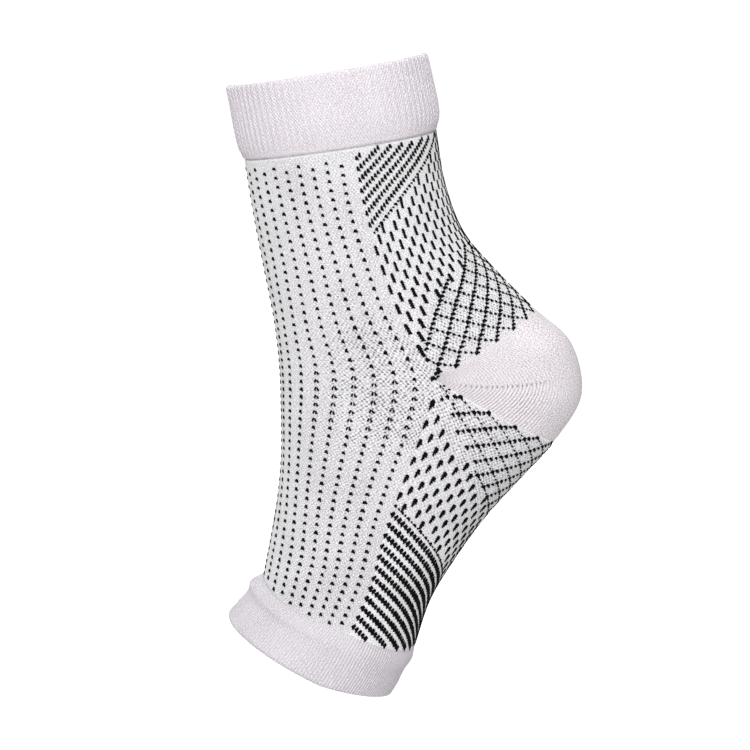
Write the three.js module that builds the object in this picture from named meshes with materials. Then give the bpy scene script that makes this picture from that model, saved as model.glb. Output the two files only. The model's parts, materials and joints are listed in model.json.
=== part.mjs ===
// A foot compression sleeve: an open-toed knitted ankle sock, in the shape that it has when worn.
// Millimetres, +Z up. The foot points down and towards -X, the heel towards +X, and the sleeve is
// the same on both sides of the plane y = 0. The origin is the centre of the ankle, level with the
// two side corners of the heel pocket.
//
// A knitted tube has courses, which run round it, and wales, which run along it. Each course is one
// section here: half an ellipse from the front of the leg to the widest point at the side, and
// half of another from there to the back. The heel pocket is a fan of extra courses between its two
// side corners, as a knitting machine makes it on the back half of the needles.
import * as THREE from "three";
import { mergeVertices } from "three/addons/utils/BufferGeometryUtils.js";

// Driving dimensions.
const BODY_WALL = 1.4; // one layer of patterned knit
const HEEL_WALL = 1.6; // one layer of denser plain knit
const HEEL_CLEARANCE = 0.5; // between the heel pocket and the edge that it is knitted to
const HEEL_TIP_WIDTH = 4.0; // the pocket starts where its fan is this wide
const FRONT_FULLNESS = 2.0; // 2 is an ellipse, more is squarer
const BACK_FULLNESS = 2.15;

// How many courses lie between the two cuffs, where the heel starts, and how many it adds.
const COURSE_STEP = 24;
const HEEL_COURSE = 96;
const TOE_COURSE = 216;
const HEEL_COURSES = 72;

// How finely the knit is faceted.
const SIDES = 48; // round a whole section, a multiple of 4
const COURSES_A_FACET = 8;
const HEEL_FACETS = 12; // across the heel pocket, from its upper edge to its lower one
const CAP_FACETS = 4; // round the folded edge of a cuff

// The front of the leg and instep, and the widest point at the side, for every COURSE_STEP courses.
const TUBE_COURSES = [
  { course: 0, frontX: -74.0, frontZ: 82.5, sideX: -30.5, sideZ: 89.2, halfWidth: 33.5 },
  { course: 24, frontX: -70.5, frontZ: 60.5, sideX: -27.0, sideZ: 68.0, halfWidth: 32.0 },
  { course: 48, frontX: -66.5, frontZ: 39.0, sideX: -20.5, sideZ: 45.5, halfWidth: 32.0 },
  { course: 72, frontX: -62.5, frontZ: 18.0, sideX: -12.0, sideZ: 23.5, halfWidth: 34.0 },
  { course: 96, frontX: -60.5, frontZ: -1.0, sideX: 0.0, sideZ: 0.0, halfWidth: 35.5 },
  { course: 120, frontX: -60.0, frontZ: -18.0, sideX: -4.5, sideZ: -22.5, halfWidth: 36.0 },
  { course: 144, frontX: -60.0, frontZ: -35.0, sideX: -12.0, sideZ: -43.0, halfWidth: 36.5 },
  { course: 168, frontX: -61.5, frontZ: -52.0, sideX: -19.0, sideZ: -63.0, halfWidth: 37.0 },
  { course: 192, frontX: -64.5, frontZ: -69.5, sideX: -24.5, sideZ: -83.0, halfWidth: 38.0 },
  { course: 216, frontX: -67.5, frontZ: -84.5, sideX: -32.5, sideZ: -100.9, halfWidth: 39.5 },
];

// The back of the leg, the heel and the sole, for every COURSE_STEP courses counted down the back.
const BACK_COURSES = [
  { place: "top seam", backX: 1.5, backZ: 94.0 },
  { place: "leg", backX: 5.0, backZ: 73.5 },
  { place: "leg", backX: 12.5, backZ: 54.0 },
  { place: "tendon", backX: 25.5, backZ: 38.5 },
  { place: "upper edge of heel", backX: 40.5, backZ: 23.5 },
  { place: "heel", backX: 55.5, backZ: 9.5 },
  { place: "heel", backX: 60.0, backZ: -11.0 },
  { place: "lower edge of heel", backX: 49.5, backZ: -29.5 },
  { place: "sole", backX: 36.0, backZ: -44.5 },
  { place: "sole", backX: 22.5, backZ: -59.5 },
  { place: "arch", backX: 10.5, backZ: -76.0 },
  { place: "arch", backX: 0.0, backZ: -93.5 },
  { place: "toe seam", backX: -6.5, backZ: -113.0 },
];

// The outside of the folded cuffs, from the seam to the rim. Each wall is two layers of knit.
const TOP_CUFF = [
  { frontX: -75.4, frontZ: 84.0, backX: 2.4, backZ: 95.8, halfWidth: 34.7, wall: 2.6 },
  { frontX: -77.4, frontZ: 91.5, backX: 2.6, backZ: 103.4, halfWidth: 35.3, wall: 2.8 },
  { frontX: -79.2, frontZ: 101.0, backX: 0.5, backZ: 113.4, halfWidth: 35.1, wall: 2.8 },
  { frontX: -81.0, frontZ: 109.8, backX: -1.8, backZ: 122.8, halfWidth: 35.0, wall: 2.8 },
];
const TOE_CUFF = [
  { frontX: -68.5, frontZ: -84.9, backX: -6.4, backZ: -114.4, halfWidth: 40.1, wall: 1.8 },
  { frontX: -73.2, frontZ: -87.7, backX: -7.4, backZ: -118.2, halfWidth: 41.3, wall: 2.0 },
  { frontX: -74.9, frontZ: -92.6, backX: -10.4, backZ: -122.6, halfWidth: 41.7, wall: 2.2 },
  { frontX: -78.2, frontZ: -96.6, backX: -12.8, backZ: -127.8, halfWidth: 42.6, wall: 2.4 },
  { frontX: -81.4, frontZ: -100.4, backX: -15.6, backZ: -132.8, halfWidth: 43.8, wall: 2.4 },
];
const CUFF_SIDE_SHARE = 0.575; // how far from front to back a cuff is widest
const CUFF_ROWS = 7; // rings of facets from the seam to the rim
const CUFF_NEARBY = 0.02; // share of a cuff's height at which its slope is read

const KNIT_WHITE = 0xe9e5ea;
const PATTERN_GREY = 0xd2cfd4;

// The tables as smooth lines.
const flatPoint = (x, z) => new THREE.Vector3(x, 0, z);
const smooth = (points) => new THREE.CatmullRomCurve3(points, false, "catmullrom", 0.5);
const frontLine = smooth(TUBE_COURSES.map((row) => flatPoint(row.frontX, row.frontZ)));
const sideLine = smooth(TUBE_COURSES.map((row) => new THREE.Vector3(row.sideX, row.halfWidth, row.sideZ)));
const backLine = smooth(BACK_COURSES.map((row) => flatPoint(row.backX, row.backZ)));

const clamp01 = (value) => Math.min(1, Math.max(0, value));
const BACK_TOTAL = COURSE_STEP * (BACK_COURSES.length - 1);

// A point of a section, at an angle round it: 0 at the front, half a turn at the back.
function sectionPoint(front, side, back, angle) {
  const forward = Math.cos(angle);
  const end = forward >= 0 ? front : back;
  const power = 2 / (forward >= 0 ? FRONT_FULLNESS : BACK_FULLNESS);
  const reach = Math.pow(Math.abs(forward), power);
  const swell = Math.sign(Math.sin(angle)) * Math.pow(Math.abs(Math.sin(angle)), power);
  return new THREE.Vector3(
    side.x + (end.x - side.x) * reach,
    side.y * swell,
    side.z + (end.z - side.z) * reach,
  );
}

// A point of the tube or of the heel pocket, from its course at the front and at the back.
function knitPoint(frontCourse, backCourse, angle) {
  const along = clamp01(frontCourse / TOE_COURSE);
  const down = clamp01(backCourse / BACK_TOTAL);
  return sectionPoint(frontLine.getPoint(along), sideLine.getPoint(along), backLine.getPoint(down), angle);
}

const legPoint = (course, angle) => knitPoint(course, course, angle);
const footPoint = (course, angle) => knitPoint(course, course + HEEL_COURSES, angle);
const heelPoint = (course, angle) => knitPoint(HEEL_COURSE, HEEL_COURSE + course, angle);

// A point of a cuff, a share of the way from its seam to its rim.
function cuffPoint(rows) {
  const fronts = smooth(rows.map((row) => flatPoint(row.frontX, row.frontZ)));
  const backs = smooth(rows.map((row) => flatPoint(row.backX, row.backZ)));
  const widths = smooth(rows.map((row) => new THREE.Vector3(row.halfWidth, 0, row.wall)));
  return (share, angle) => {
    const front = fronts.getPoint(share);
    const back = backs.getPoint(share);
    const width = widths.getPoint(share);
    const side = front.clone().lerp(back, CUFF_SIDE_SHARE).setY(width.x);
    return { point: sectionPoint(front, side, back, angle), wall: width.z };
  };
}

// The outward direction at a place of a surface, from points close by on either side of it.
function outward(surface, along, angle, low, high, alongStep) {
  const turn = 0.01;
  const before = surface(Math.max(low, along - alongStep), angle);
  const after = surface(Math.min(high, along + alongStep), angle);
  const round = surface(along, angle + turn).sub(surface(along, angle - turn));
  return round.cross(after.sub(before)).normalize();
}

// Closed meshes from grids of points.
function facets() {
  const corners = [];
  const triangle = (a, b, c) => corners.push(a, b, c);
  return {
    quad(a, b, c, d) {
      triangle(a, b, c);
      triangle(a, c, d);
    },
    // A grid whose rows run down the sleeve and whose columns run round it, facing out or in.
    grid(rows, facingOut) {
      for (let i = 0; i + 1 < rows.length; i += 1) {
        for (let j = 0; j + 1 < rows[i].length; j += 1) {
          const square = [rows[i][j], rows[i][j + 1], rows[i + 1][j + 1], rows[i + 1][j]];
          this.quad(...(facingOut ? square : square.reverse()));
        }
      }
    },
    // The raw edge of a wall, between its outer and inner lines of points.
    edge(outer, inner, facingUp) {
      for (let j = 0; j + 1 < outer.length; j += 1) {
        const square = [outer[j], inner[j], inner[j + 1], outer[j + 1]];
        this.quad(...(facingUp ? square : square.reverse()));
      }
    },
    geometry() {
      const positions = new Float32Array(corners.flatMap((p) => [p.x, p.y, p.z]));
      const loose = new THREE.BufferGeometry();
      loose.setAttribute("position", new THREE.BufferAttribute(positions, 3));
      return mergeVertices(loose, 1e-4);
    },
  };
}

const range = (first, last, steps) =>
  Array.from({ length: steps + 1 }, (_, i) => first + ((last - first) * i) / steps);
const column = (rows, j) => rows.map((row) => row[j]);

const QUARTER = Math.PI / 2;
const HALF_SIDES = SIDES / 2;
// Round the front of a course, from one side to the other, and round its back.
const FRONT_ANGLES = range(-QUARTER, QUARTER, HALF_SIDES);
const BACK_ANGLES = range(QUARTER, 3 * QUARTER, HALF_SIDES);

// The outer and inner points of a wall over part of the tube.
function wall(surface, courses, angles, thickness, low, high) {
  const outer = courses.map((course) => angles.map((angle) => surface(course, angle)));
  const inner = courses.map((course, i) =>
    angles.map((angle, j) => {
      const out = outward(surface, course, angle, low, high, 0.5);
      return outer[i][j].clone().addScaledVector(out, -thickness);
    }),
  );
  return { outer, inner };
}

// The tube between the cuffs: a front half in one length, and a back half that is open at the heel.
function sleeveBody() {
  const solid = facets();
  const last = (list) => list[list.length - 1];
  const lengths = [
    { surface: legPoint, low: 0, high: HEEL_COURSE },
    { surface: footPoint, low: HEEL_COURSE, high: TOE_COURSE },
  ];
  const [leg, foot] = lengths.map(({ surface, low, high }) => {
    const courses = range(low, high, (high - low) / COURSES_A_FACET);
    return {
      front: wall(surface, courses, FRONT_ANGLES, BODY_WALL, 0, TOE_COURSE),
      back: wall(surface, courses, BACK_ANGLES, BODY_WALL, low, high),
    };
  });
  for (const layer of ["outer", "inner"]) {
    // The instep runs on past the heel, and the two halves share their side wales.
    foot.front[layer][0] = last(leg.front[layer]);
    for (const { front, back } of [leg, foot]) {
      back[layer].forEach((row, i) => {
        row[0] = last(front[layer][i]);
        row[row.length - 1] = front[layer][i][0];
      });
    }
  }
  for (const half of ["front", "back"]) {
    for (const length of [leg, foot]) {
      solid.grid(length[half].outer, true);
      solid.grid(length[half].inner, false);
    }
    solid.edge(leg[half].outer[0], leg[half].inner[0], true);
    solid.edge(last(foot[half].outer), last(foot[half].inner), false);
  }
  solid.edge(last(leg.back.outer), last(leg.back.inner), false);
  solid.edge(foot.back.outer[0], foot.back.inner[0], true);
  return solid.geometry();
}

// The pocket that holds the heel: a fan of courses between its two side corners.
function heelPocket() {
  const solid = facets();
  const fanWidth = (angle) => heelPoint(0, angle).distanceTo(heelPoint(HEEL_COURSES, angle));
  const tip = range(QUARTER, Math.PI, 400).find((angle) => fanWidth(angle) > HEEL_TIP_WIDTH);
  const angles = range(tip, 2 * Math.PI - tip, HALF_SIDES);
  const rows = range(0, 1, HEEL_FACETS);
  const heelAt = (share, angle) => {
    const margin = HEEL_CLEARANCE / fanWidth(angle);
    return heelPoint(HEEL_COURSES * (margin + share * (1 - 2 * margin)), angle);
  };
  const { outer, inner } = wall(heelAt, rows, angles, HEEL_WALL, 0, 1);
  solid.grid(outer, true);
  solid.grid(inner, false);
  solid.edge(outer[0], inner[0], true);
  solid.edge(outer[HEEL_FACETS], inner[HEEL_FACETS], false);
  solid.edge(column(outer, 0), column(inner, 0), false);
  solid.edge(column(outer, HALF_SIDES), column(inner, HALF_SIDES), true);
  return solid.geometry();
}

// A folded cuff: a band of double knit whose two edges are rounded.
function cuff(table, seamOnTop) {
  const solid = facets();
  const place = cuffPoint(table);
  const surface = (share, angle) => place(clamp01(share), angle).point;
  const angles = range(0, 2 * Math.PI, SIDES);
  // A ring of points, this share of the wall's thickness below the outside and this share beyond its end.
  const ring = (share, depth, beyond) =>
    angles.map((angle) => {
      const { point, wall: thickness } = place(share, angle);
      const out = outward(surface, share, angle, 0, 1, CUFF_NEARBY).multiplyScalar(seamOnTop ? 1 : -1);
      const ahead = surface(share + CUFF_NEARBY, angle).sub(surface(share - CUFF_NEARBY, angle)).normalize();
      return point.addScaledVector(out, -depth * thickness).addScaledVector(ahead, beyond * thickness);
    });
  const layer = (depth) => range(0, 1, CUFF_ROWS).map((share) => ring(share, depth, 0));
  const fold = (share, way) =>
    range(0, Math.PI, CAP_FACETS)
      .slice(1, -1)
      .map((bend) => ring(share, 0.5 - 0.5 * Math.cos(bend), 0.5 * way * Math.sin(bend)));
  const loop = [...layer(0), ...fold(1, 1), ...layer(1).reverse(), ...fold(0, -1).reverse()];
  solid.grid([...loop, loop[0]], seamOnTop);
  return solid.geometry();
}

const knit = (color) =>
  new THREE.MeshStandardMaterial({ color, roughness: 0.9, metalness: 0, side: THREE.FrontSide });

function piece(name, geometry, color) {
  const mesh = new THREE.Mesh(geometry, knit(color));
  mesh.name = name;
  return mesh;
}

const sleeve = new THREE.Group();
sleeve.name = "foot_compression_sleeve";
sleeve.add(
  piece("top_cuff", cuff(TOP_CUFF, false), KNIT_WHITE),
  piece("sleeve_body", sleeveBody(), PATTERN_GREY),
  piece("heel_pocket", heelPocket(), KNIT_WHITE),
  piece("toe_cuff", cuff(TOE_CUFF, true), KNIT_WHITE),
);

export default sleeve;
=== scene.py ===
# %% [markdown]
# # A foot compression sleeve, knitted course by course
# The real object is one knitted tube: a folded cuff round the leg, a patterned body, a plain heel
# pocket and a ribbed cuff round the ball of the foot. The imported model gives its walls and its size,
# and this lesson knits the cloth on it. Every piece is in metres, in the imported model's own frame.

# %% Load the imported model
import json
import math

import bpy
import numpy as np
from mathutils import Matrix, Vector

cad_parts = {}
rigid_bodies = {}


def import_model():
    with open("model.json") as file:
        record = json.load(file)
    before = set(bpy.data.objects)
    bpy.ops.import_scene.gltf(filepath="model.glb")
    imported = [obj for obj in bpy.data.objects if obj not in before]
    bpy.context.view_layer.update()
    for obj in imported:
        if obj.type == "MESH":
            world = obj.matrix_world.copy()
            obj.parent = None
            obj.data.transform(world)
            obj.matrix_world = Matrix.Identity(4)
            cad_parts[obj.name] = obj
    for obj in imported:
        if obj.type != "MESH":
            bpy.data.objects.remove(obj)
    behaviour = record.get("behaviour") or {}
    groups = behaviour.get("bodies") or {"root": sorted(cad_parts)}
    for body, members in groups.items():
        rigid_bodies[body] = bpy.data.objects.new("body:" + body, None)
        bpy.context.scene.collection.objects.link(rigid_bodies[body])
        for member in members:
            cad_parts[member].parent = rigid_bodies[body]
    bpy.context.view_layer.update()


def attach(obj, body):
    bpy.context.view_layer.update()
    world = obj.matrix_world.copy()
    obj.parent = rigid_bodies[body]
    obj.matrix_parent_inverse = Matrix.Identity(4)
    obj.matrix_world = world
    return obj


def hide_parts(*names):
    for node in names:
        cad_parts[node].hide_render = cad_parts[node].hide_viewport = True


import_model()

MM = 0.001

# %% [markdown]
# ## The camera
# The sleeve was pictured from its side with a long lens, a little from above, so its upright edges
# hardly lean. A lens of about 139 mm at 1.16 m repeats that. The camera is aimed by a track
# quaternion, which is easier to read than three angles.

# %% Place the camera
CAMERA_PLACE = Vector((-22.5, -1147.85, 163.87)) * MM
CAMERA_AIM = Vector((-22.5, 0.0, -3.58)) * MM
CAMERA_LENS = 139.2

scene = bpy.context.scene


def aimed(place, aim):
    """The turn that points a camera or a light from its place to its aim."""
    return (Vector(aim) - Vector(place)).to_track_quat("-Z", "Y").to_euler()


camera_data = bpy.data.cameras.new("side_camera")
camera_data.lens = CAMERA_LENS
camera_data.sensor_width = 36.0
camera_data.clip_end = 200.0
side_camera = bpy.data.objects.new("side_camera", camera_data)
side_camera.location = CAMERA_PLACE
side_camera.rotation_euler = aimed(CAMERA_PLACE, CAMERA_AIM)
scene.collection.objects.link(side_camera)
scene.camera = side_camera
print("camera distance in mm:", round((CAMERA_AIM - CAMERA_PLACE).length / MM))

# %% [markdown]
# ## A white studio
# White knit needs soft light with a direction, or its ribs vanish. A large panel near the camera and
# a larger one overhead do most of the work, and an even grey-white world fills the shadows. The view
# transform is Standard, so that white cloth stays white.

# %% Light the studio
WHITE = (1.0, 1.0, 1.0, 1.0)
WORLD_LIGHT = 0.5
STUDIO_AIM = (-0.02, 0.0, 0.0)
# name, place and size in metres, power in watts
LIGHT_PANELS = (
    ("front_panel", (-0.15, -2.0, 1.1), 1.0, 31.0),
    ("top_panel", (-0.1, -0.2, 2.2), 1.8, 19.5),
)

scene.view_settings.view_transform = "Standard"
scene.view_settings.look = "None"
studio_world = bpy.data.worlds.new("studio_world")
studio_world.use_nodes = True
world_light = studio_world.node_tree.nodes["Background"]
world_light.inputs["Color"].default_value = WHITE
world_light.inputs["Strength"].default_value = WORLD_LIGHT
scene.world = studio_world

for name, place, size, power in LIGHT_PANELS:
    panel_data = bpy.data.lights.new(name, "AREA")
    panel_data.shape = "SQUARE"
    panel_data.size = size
    panel_data.energy = power
    panel = bpy.data.objects.new(name, panel_data)
    panel.location = place
    panel.rotation_euler = aimed(place, STUDIO_AIM)
    scene.collection.objects.link(panel)

# %% Lay the floor
FLOOR_DROP = 0.30
FLOOR_REACH = 60.0
FLOOR_GLOW = 0.75  # seen by the camera only, so the floor lights nothing
FLOOR_LOOKS = {
    "Base Color": (0.7, 0.7, 0.7, 1.0),
    "Roughness": 0.95,
    "Specular IOR Level": 0.1,
    "Emission Color": WHITE,
}

floor_mesh = bpy.data.meshes.new("studio_floor")
floor_corners = [(-1, -1), (1, -1), (1, 1), (-1, 1)]
floor_places = [(x * FLOOR_REACH, y * FLOOR_REACH, -FLOOR_DROP) for x, y in floor_corners]
floor_mesh.from_pydata(floor_places, [], [(0, 1, 2, 3)])
studio_floor = bpy.data.objects.new("studio_floor", floor_mesh)
scene.collection.objects.link(studio_floor)

floor_paint = bpy.data.materials.new("floor_paint")
floor_paint.use_nodes = True
floor_tree = floor_paint.node_tree
floor_shader = floor_tree.nodes["Principled BSDF"]
for label, value in FLOOR_LOOKS.items():
    floor_shader.inputs[label].default_value = value
floor_seen = floor_tree.nodes.new("ShaderNodeLightPath")
floor_glow = floor_tree.nodes.new("ShaderNodeMath")
floor_glow.operation = "MULTIPLY"
floor_glow.inputs[1].default_value = FLOOR_GLOW
floor_tree.links.new(floor_seen.outputs["Is Camera Ray"], floor_glow.inputs[0])
floor_tree.links.new(floor_glow.outputs[0], floor_shader.inputs["Emission Strength"])
floor_mesh.materials.append(floor_paint)
print("floor below the origin in m:", FLOOR_DROP)

# %% [markdown]
# ## The shape of the worn tube
# A knitted tube has courses, which run round it, and wales, which run along it. Every course here is
# one section: half an ellipse from the front to the widest point at the side, and half of another
# from there to the back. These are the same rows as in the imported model, in millimetres.

# %% Rows of the tube
COURSE_STEP = 24
HEEL_COURSE = 96
TOE_COURSE = 216
HEEL_COURSES = 72

# front x and z, side x and z, half width
TUBE_ROWS = np.array([
    (-74.0, 82.5, -30.5, 89.2, 33.5),
    (-70.5, 60.5, -27.0, 68.0, 32.0),
    (-66.5, 39.0, -20.5, 45.5, 32.0),
    (-62.5, 18.0, -12.0, 23.5, 34.0),
    (-60.5, -1.0, 0.0, 0.0, 35.5),
    (-60.0, -18.0, -4.5, -22.5, 36.0),
    (-60.0, -35.0, -12.0, -43.0, 36.5),
    (-61.5, -52.0, -19.0, -63.0, 37.0),
    (-64.5, -69.5, -24.5, -83.0, 38.0),
    (-67.5, -84.5, -32.5, -100.9, 39.5),
]) * MM
# back x and z, from the top seam over the heel to the toe seam
BACK_ROWS = np.array([
    (1.5, 94.0), (5.0, 73.5), (12.5, 54.0), (25.5, 38.5), (40.5, 23.5), (55.5, 9.5), (60.0, -11.0),
    (49.5, -29.5), (36.0, -44.5), (22.5, -59.5), (10.5, -76.0), (0.0, -93.5), (-6.5, -113.0),
]) * MM
print("rows of the tube and of its back:", len(TUBE_ROWS), len(BACK_ROWS))

# %% [markdown]
# Between these rows every course is read from a smooth line. In front of the side line the tube sags
# a little as it nears the toe seam, as slack cloth does.

# %% Sections of the tube
FRONT_FULLNESS = 2.0  # 2 is an ellipse, and more is fuller
BACK_FULLNESS = 2.15
TOE_SAG = 2.6 * MM
SAG_FROM = 184


def smooth_rows(rows, at):
    """A smooth line through evenly spaced rows, read at any places along it."""
    at = np.clip(np.asarray(at, float), 0, len(rows) - 1)
    i = np.minimum(at.astype(int), len(rows) - 2)
    t = (at - i)[:, None]
    padded = np.vstack([2 * rows[0] - rows[1], rows, 2 * rows[-1] - rows[-2]])
    a, b, c, d = (padded[i + k] for k in range(4))
    square = (2 * a - 5 * b + 4 * c - d) * t**2
    cube = (3 * b - a - 3 * c + d) * t**3
    return 0.5 * (2 * b + (c - a) * t + square + cube)


def tube_lines(front_course, back_course):
    """The seven numbers that make a section, for each pair of courses."""
    tube = smooth_rows(TUBE_ROWS, np.asarray(front_course, float) / COURSE_STEP)
    back = smooth_rows(BACK_ROWS, np.asarray(back_course, float) / COURSE_STEP)
    return np.hstack([tube, back])


def section_points(lines, angle):
    """Points round each section: angle 0 is the front, half a turn is the back."""
    front_x, front_z, side_x, side_z, width, back_x, back_z = (lines[:, k, None] for k in range(7))
    ahead = np.cos(angle) >= 0
    power = 2 / np.where(ahead, FRONT_FULLNESS, BACK_FULLNESS)
    reach = np.abs(np.cos(angle)) ** power
    swell = np.sign(np.sin(angle)) * np.abs(np.sin(angle)) ** power
    x = side_x + (np.where(ahead, front_x, back_x) - side_x) * reach
    z = side_z + (np.where(ahead, front_z, back_z) - side_z) * reach
    return np.stack([x, width * swell, z], axis=-1)


def unit(vectors):
    return vectors / np.linalg.norm(vectors, axis=-1, keepdims=True)


def toe_sag(course, angle):
    """How far the tube sags in front of the side line as it nears the toe seam."""
    share = np.clip((course - SAG_FROM) / (TOE_COURSE - SAG_FROM), 0, 1)
    return TOE_SAG * share**2 * np.abs(np.sin(2 * angle)) * (np.cos(angle) > 0)


def tube_points(courses, back_shift, angle):
    """Points of the tube, a row for each course."""
    points = section_points(tube_lines(courses, courses + back_shift), angle)
    points[..., 2] -= toe_sag(courses[:, None], angle)
    return points


print("sag at the toe seam in mm:", round(TOE_SAG / MM, 1))

# %% [markdown]
# ## Wales at even steps
# A machine knits on evenly spaced needles, so wales lie at even lengths round a course and not at
# even angles. The next helper measures round part of each section and gives the angles of even steps.
# On the instep the wales also spread a little over the ankle and close up towards the toes, and the
# courses rise a little towards the front.

# %% Even wales
QUARTER = math.pi / 2
FRONT_WALES = 42  # from the front centre to the side
LEG_WALES = 42  # from the side to the back centre, above the heel
FOOT_WALES = 35  # the same, below the heel
ARC_POINTS = 181  # points of the line that is measured

# how far instep wales drift away from the side line, in wales, at two places between side and front
DRIFT_COURSES = (0, 27, 45, 63, 81, 99, 117, 135, 153, 171, 189, 216)
DRIFT_NEAR = (0.0, -0.4, -0.4, -0.05, 0.2, 0.74, 0.33, 0.03, -0.36, -1.25, -2.06, -2.3)
DRIFT_FAR = (-0.2, -1.0, -0.75, 0.3, 1.55, 2.45, 2.1, 1.47, 0.34, -1.36, -3.04, -4.2)
NEAR_PART = 0.286
FAR_PART = 0.667
# how many courses a wale lies above the one next to it, and the wale that keeps its course
TILT_COURSES = (0, 27, 45, 63, 81, 99, 126, 153, 171, 190)
TILT_A_WALE = (0.025, 0.05, 0.075, 0.125, 0.16, 0.2, 0.21, 0.125, 0.04, 0.0)
TILT_LEVEL = (0, 0, 0, 4, 8, 10.4, 12, 13.2, 16, 16)


def even_angles(lines, shares, low, high):
    """Angles that lie at these shares of the length round each section, between two angles."""
    steps = np.linspace(low, high, ARC_POINTS)
    line = section_points(lines, np.broadcast_to(steps, (len(lines), len(steps))))
    lengths = np.linalg.norm(np.diff(line, axis=1), axis=-1)
    run = np.pad(np.cumsum(lengths, axis=1), ((0, 0), (1, 0)))
    return np.array([np.interp(share, along / along[-1], steps) for share, along in zip(shares, run)])


def instep_share(wales_from_side, course):
    """How far from the front centre an instep wale lies, as a share of the front quarter."""
    part = wales_from_side / FRONT_WALES
    near = np.interp(course, DRIFT_COURSES, DRIFT_NEAR) / (NEAR_PART * (1 - NEAR_PART))
    far = np.interp(course, DRIFT_COURSES, DRIFT_FAR) / (FAR_PART * (1 - FAR_PART))
    pull = near + (far - near) * (part - NEAR_PART) / (FAR_PART - NEAR_PART)
    return 1 - (wales_from_side + part * (1 - part) * pull) / FRONT_WALES


def instep_drop(wales_from_side, course):
    """How many courses lower an instep stitch lies than its course at the side would say."""
    slope = np.interp(course, TILT_COURSES, TILT_A_WALE)
    return slope * (np.interp(course, TILT_COURSES, TILT_LEVEL) - wales_from_side)


print("wales round the leg:", 2 * (FRONT_WALES + LEG_WALES))

# %% [markdown]
# ## The outside of the body
# The body has two points a wale and one a course, enough for real wale ridges. Its front half runs
# the whole length, and its back half is in two parts that stop at the heel pocket. Each part keeps
# its grid of points, because the dark stitches are set on the same grids later.

# %% Grids of the body
POINTS_A_WALE = 2
BODY_WALL = 1.4 * MM
TURN_STEP = 0.01  # a small turn and half a course, for directions on the cloth
HALF_COURSE = 0.5


def tube_patch(courses, back_shift, angles):
    """Points and outward directions of a part of the tube, a row for each course."""
    points = tube_points(courses, back_shift, angles)
    turned = [tube_points(courses, back_shift, angles + d) for d in (TURN_STEP, -TURN_STEP)]
    low, high = courses.min(), courses.max()
    before, after = (np.clip(courses + d, low, high) for d in (-HALF_COURSE, HALF_COURSE))
    down = tube_points(after, back_shift, angles) - tube_points(before, back_shift, angles)
    return points, unit(np.cross(turned[0] - turned[1], down))


all_courses = np.arange(0.0, TOE_COURSE + 1)
leg_courses = np.arange(0.0, HEEL_COURSE + 1)
foot_courses = np.arange(float(HEEL_COURSE), TOE_COURSE + 1)

front_wale = np.linspace(-FRONT_WALES, FRONT_WALES, 2 * FRONT_WALES * POINTS_A_WALE + 1)
front_shift = np.where(all_courses > HEEL_COURSE, HEEL_COURSES, 0)
front_shares = np.array([instep_share(FRONT_WALES - np.abs(front_wale), c) for c in all_courses])
front_lines = tube_lines(all_courses, all_courses + front_shift)
front_angles = even_angles(front_lines, front_shares, 0.0, QUARTER)
front_angles = front_angles * np.sign(front_wale)
front_points, front_out = tube_patch(all_courses, front_shift, front_angles)


def back_patch(courses, back_shift, wales):
    """The back half of a length of tube, from the far side round to the near one."""
    wale = np.linspace(-wales, wales, 2 * wales * POINTS_A_WALE + 1)
    shares = np.broadcast_to(1 - np.abs(wale) / wales, (len(courses), len(wale)))
    angles = even_angles(tube_lines(courses, courses + back_shift), shares, QUARTER, math.pi)
    angles = np.where(wale <= 0, angles, 2 * math.pi - angles)
    points, out = tube_patch(courses, back_shift, angles)
    rows = courses.astype(int)
    for grid, front in ((points, front_points), (out, front_out)):
        grid[:, 0] = front[rows, -1]
        grid[:, -1] = front[rows, 0]
    return points, out, wale + wales + FRONT_WALES


leg_points, leg_out, leg_wale = back_patch(leg_courses, 0, LEG_WALES)
foot_points, foot_out, foot_wale = back_patch(foot_courses, HEEL_COURSES, FOOT_WALES)
body_grids = (front_points, leg_points, foot_points)
print("points of the body's outside:", sum(grid.size // 3 for grid in body_grids))

# %% [markdown]
# ## From grids to closed cloth
# A sheet of cloth here is a closed mesh: an outer layer, an inner layer and the raw edges between
# them. Grids are laid side by side, and corners at the same place are welded. The knit chart goes
# into a UV map, wale by course, so that every finish follows the yarn. Copies of it on the points
# let Geometry Nodes raise the ribs.

# %% Weld grids into a mesh
CHART_SPAN = 300.0  # wales and courses that the UV map's unit square holds
CHART_START = 60.0  # so that no wale is negative there


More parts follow.
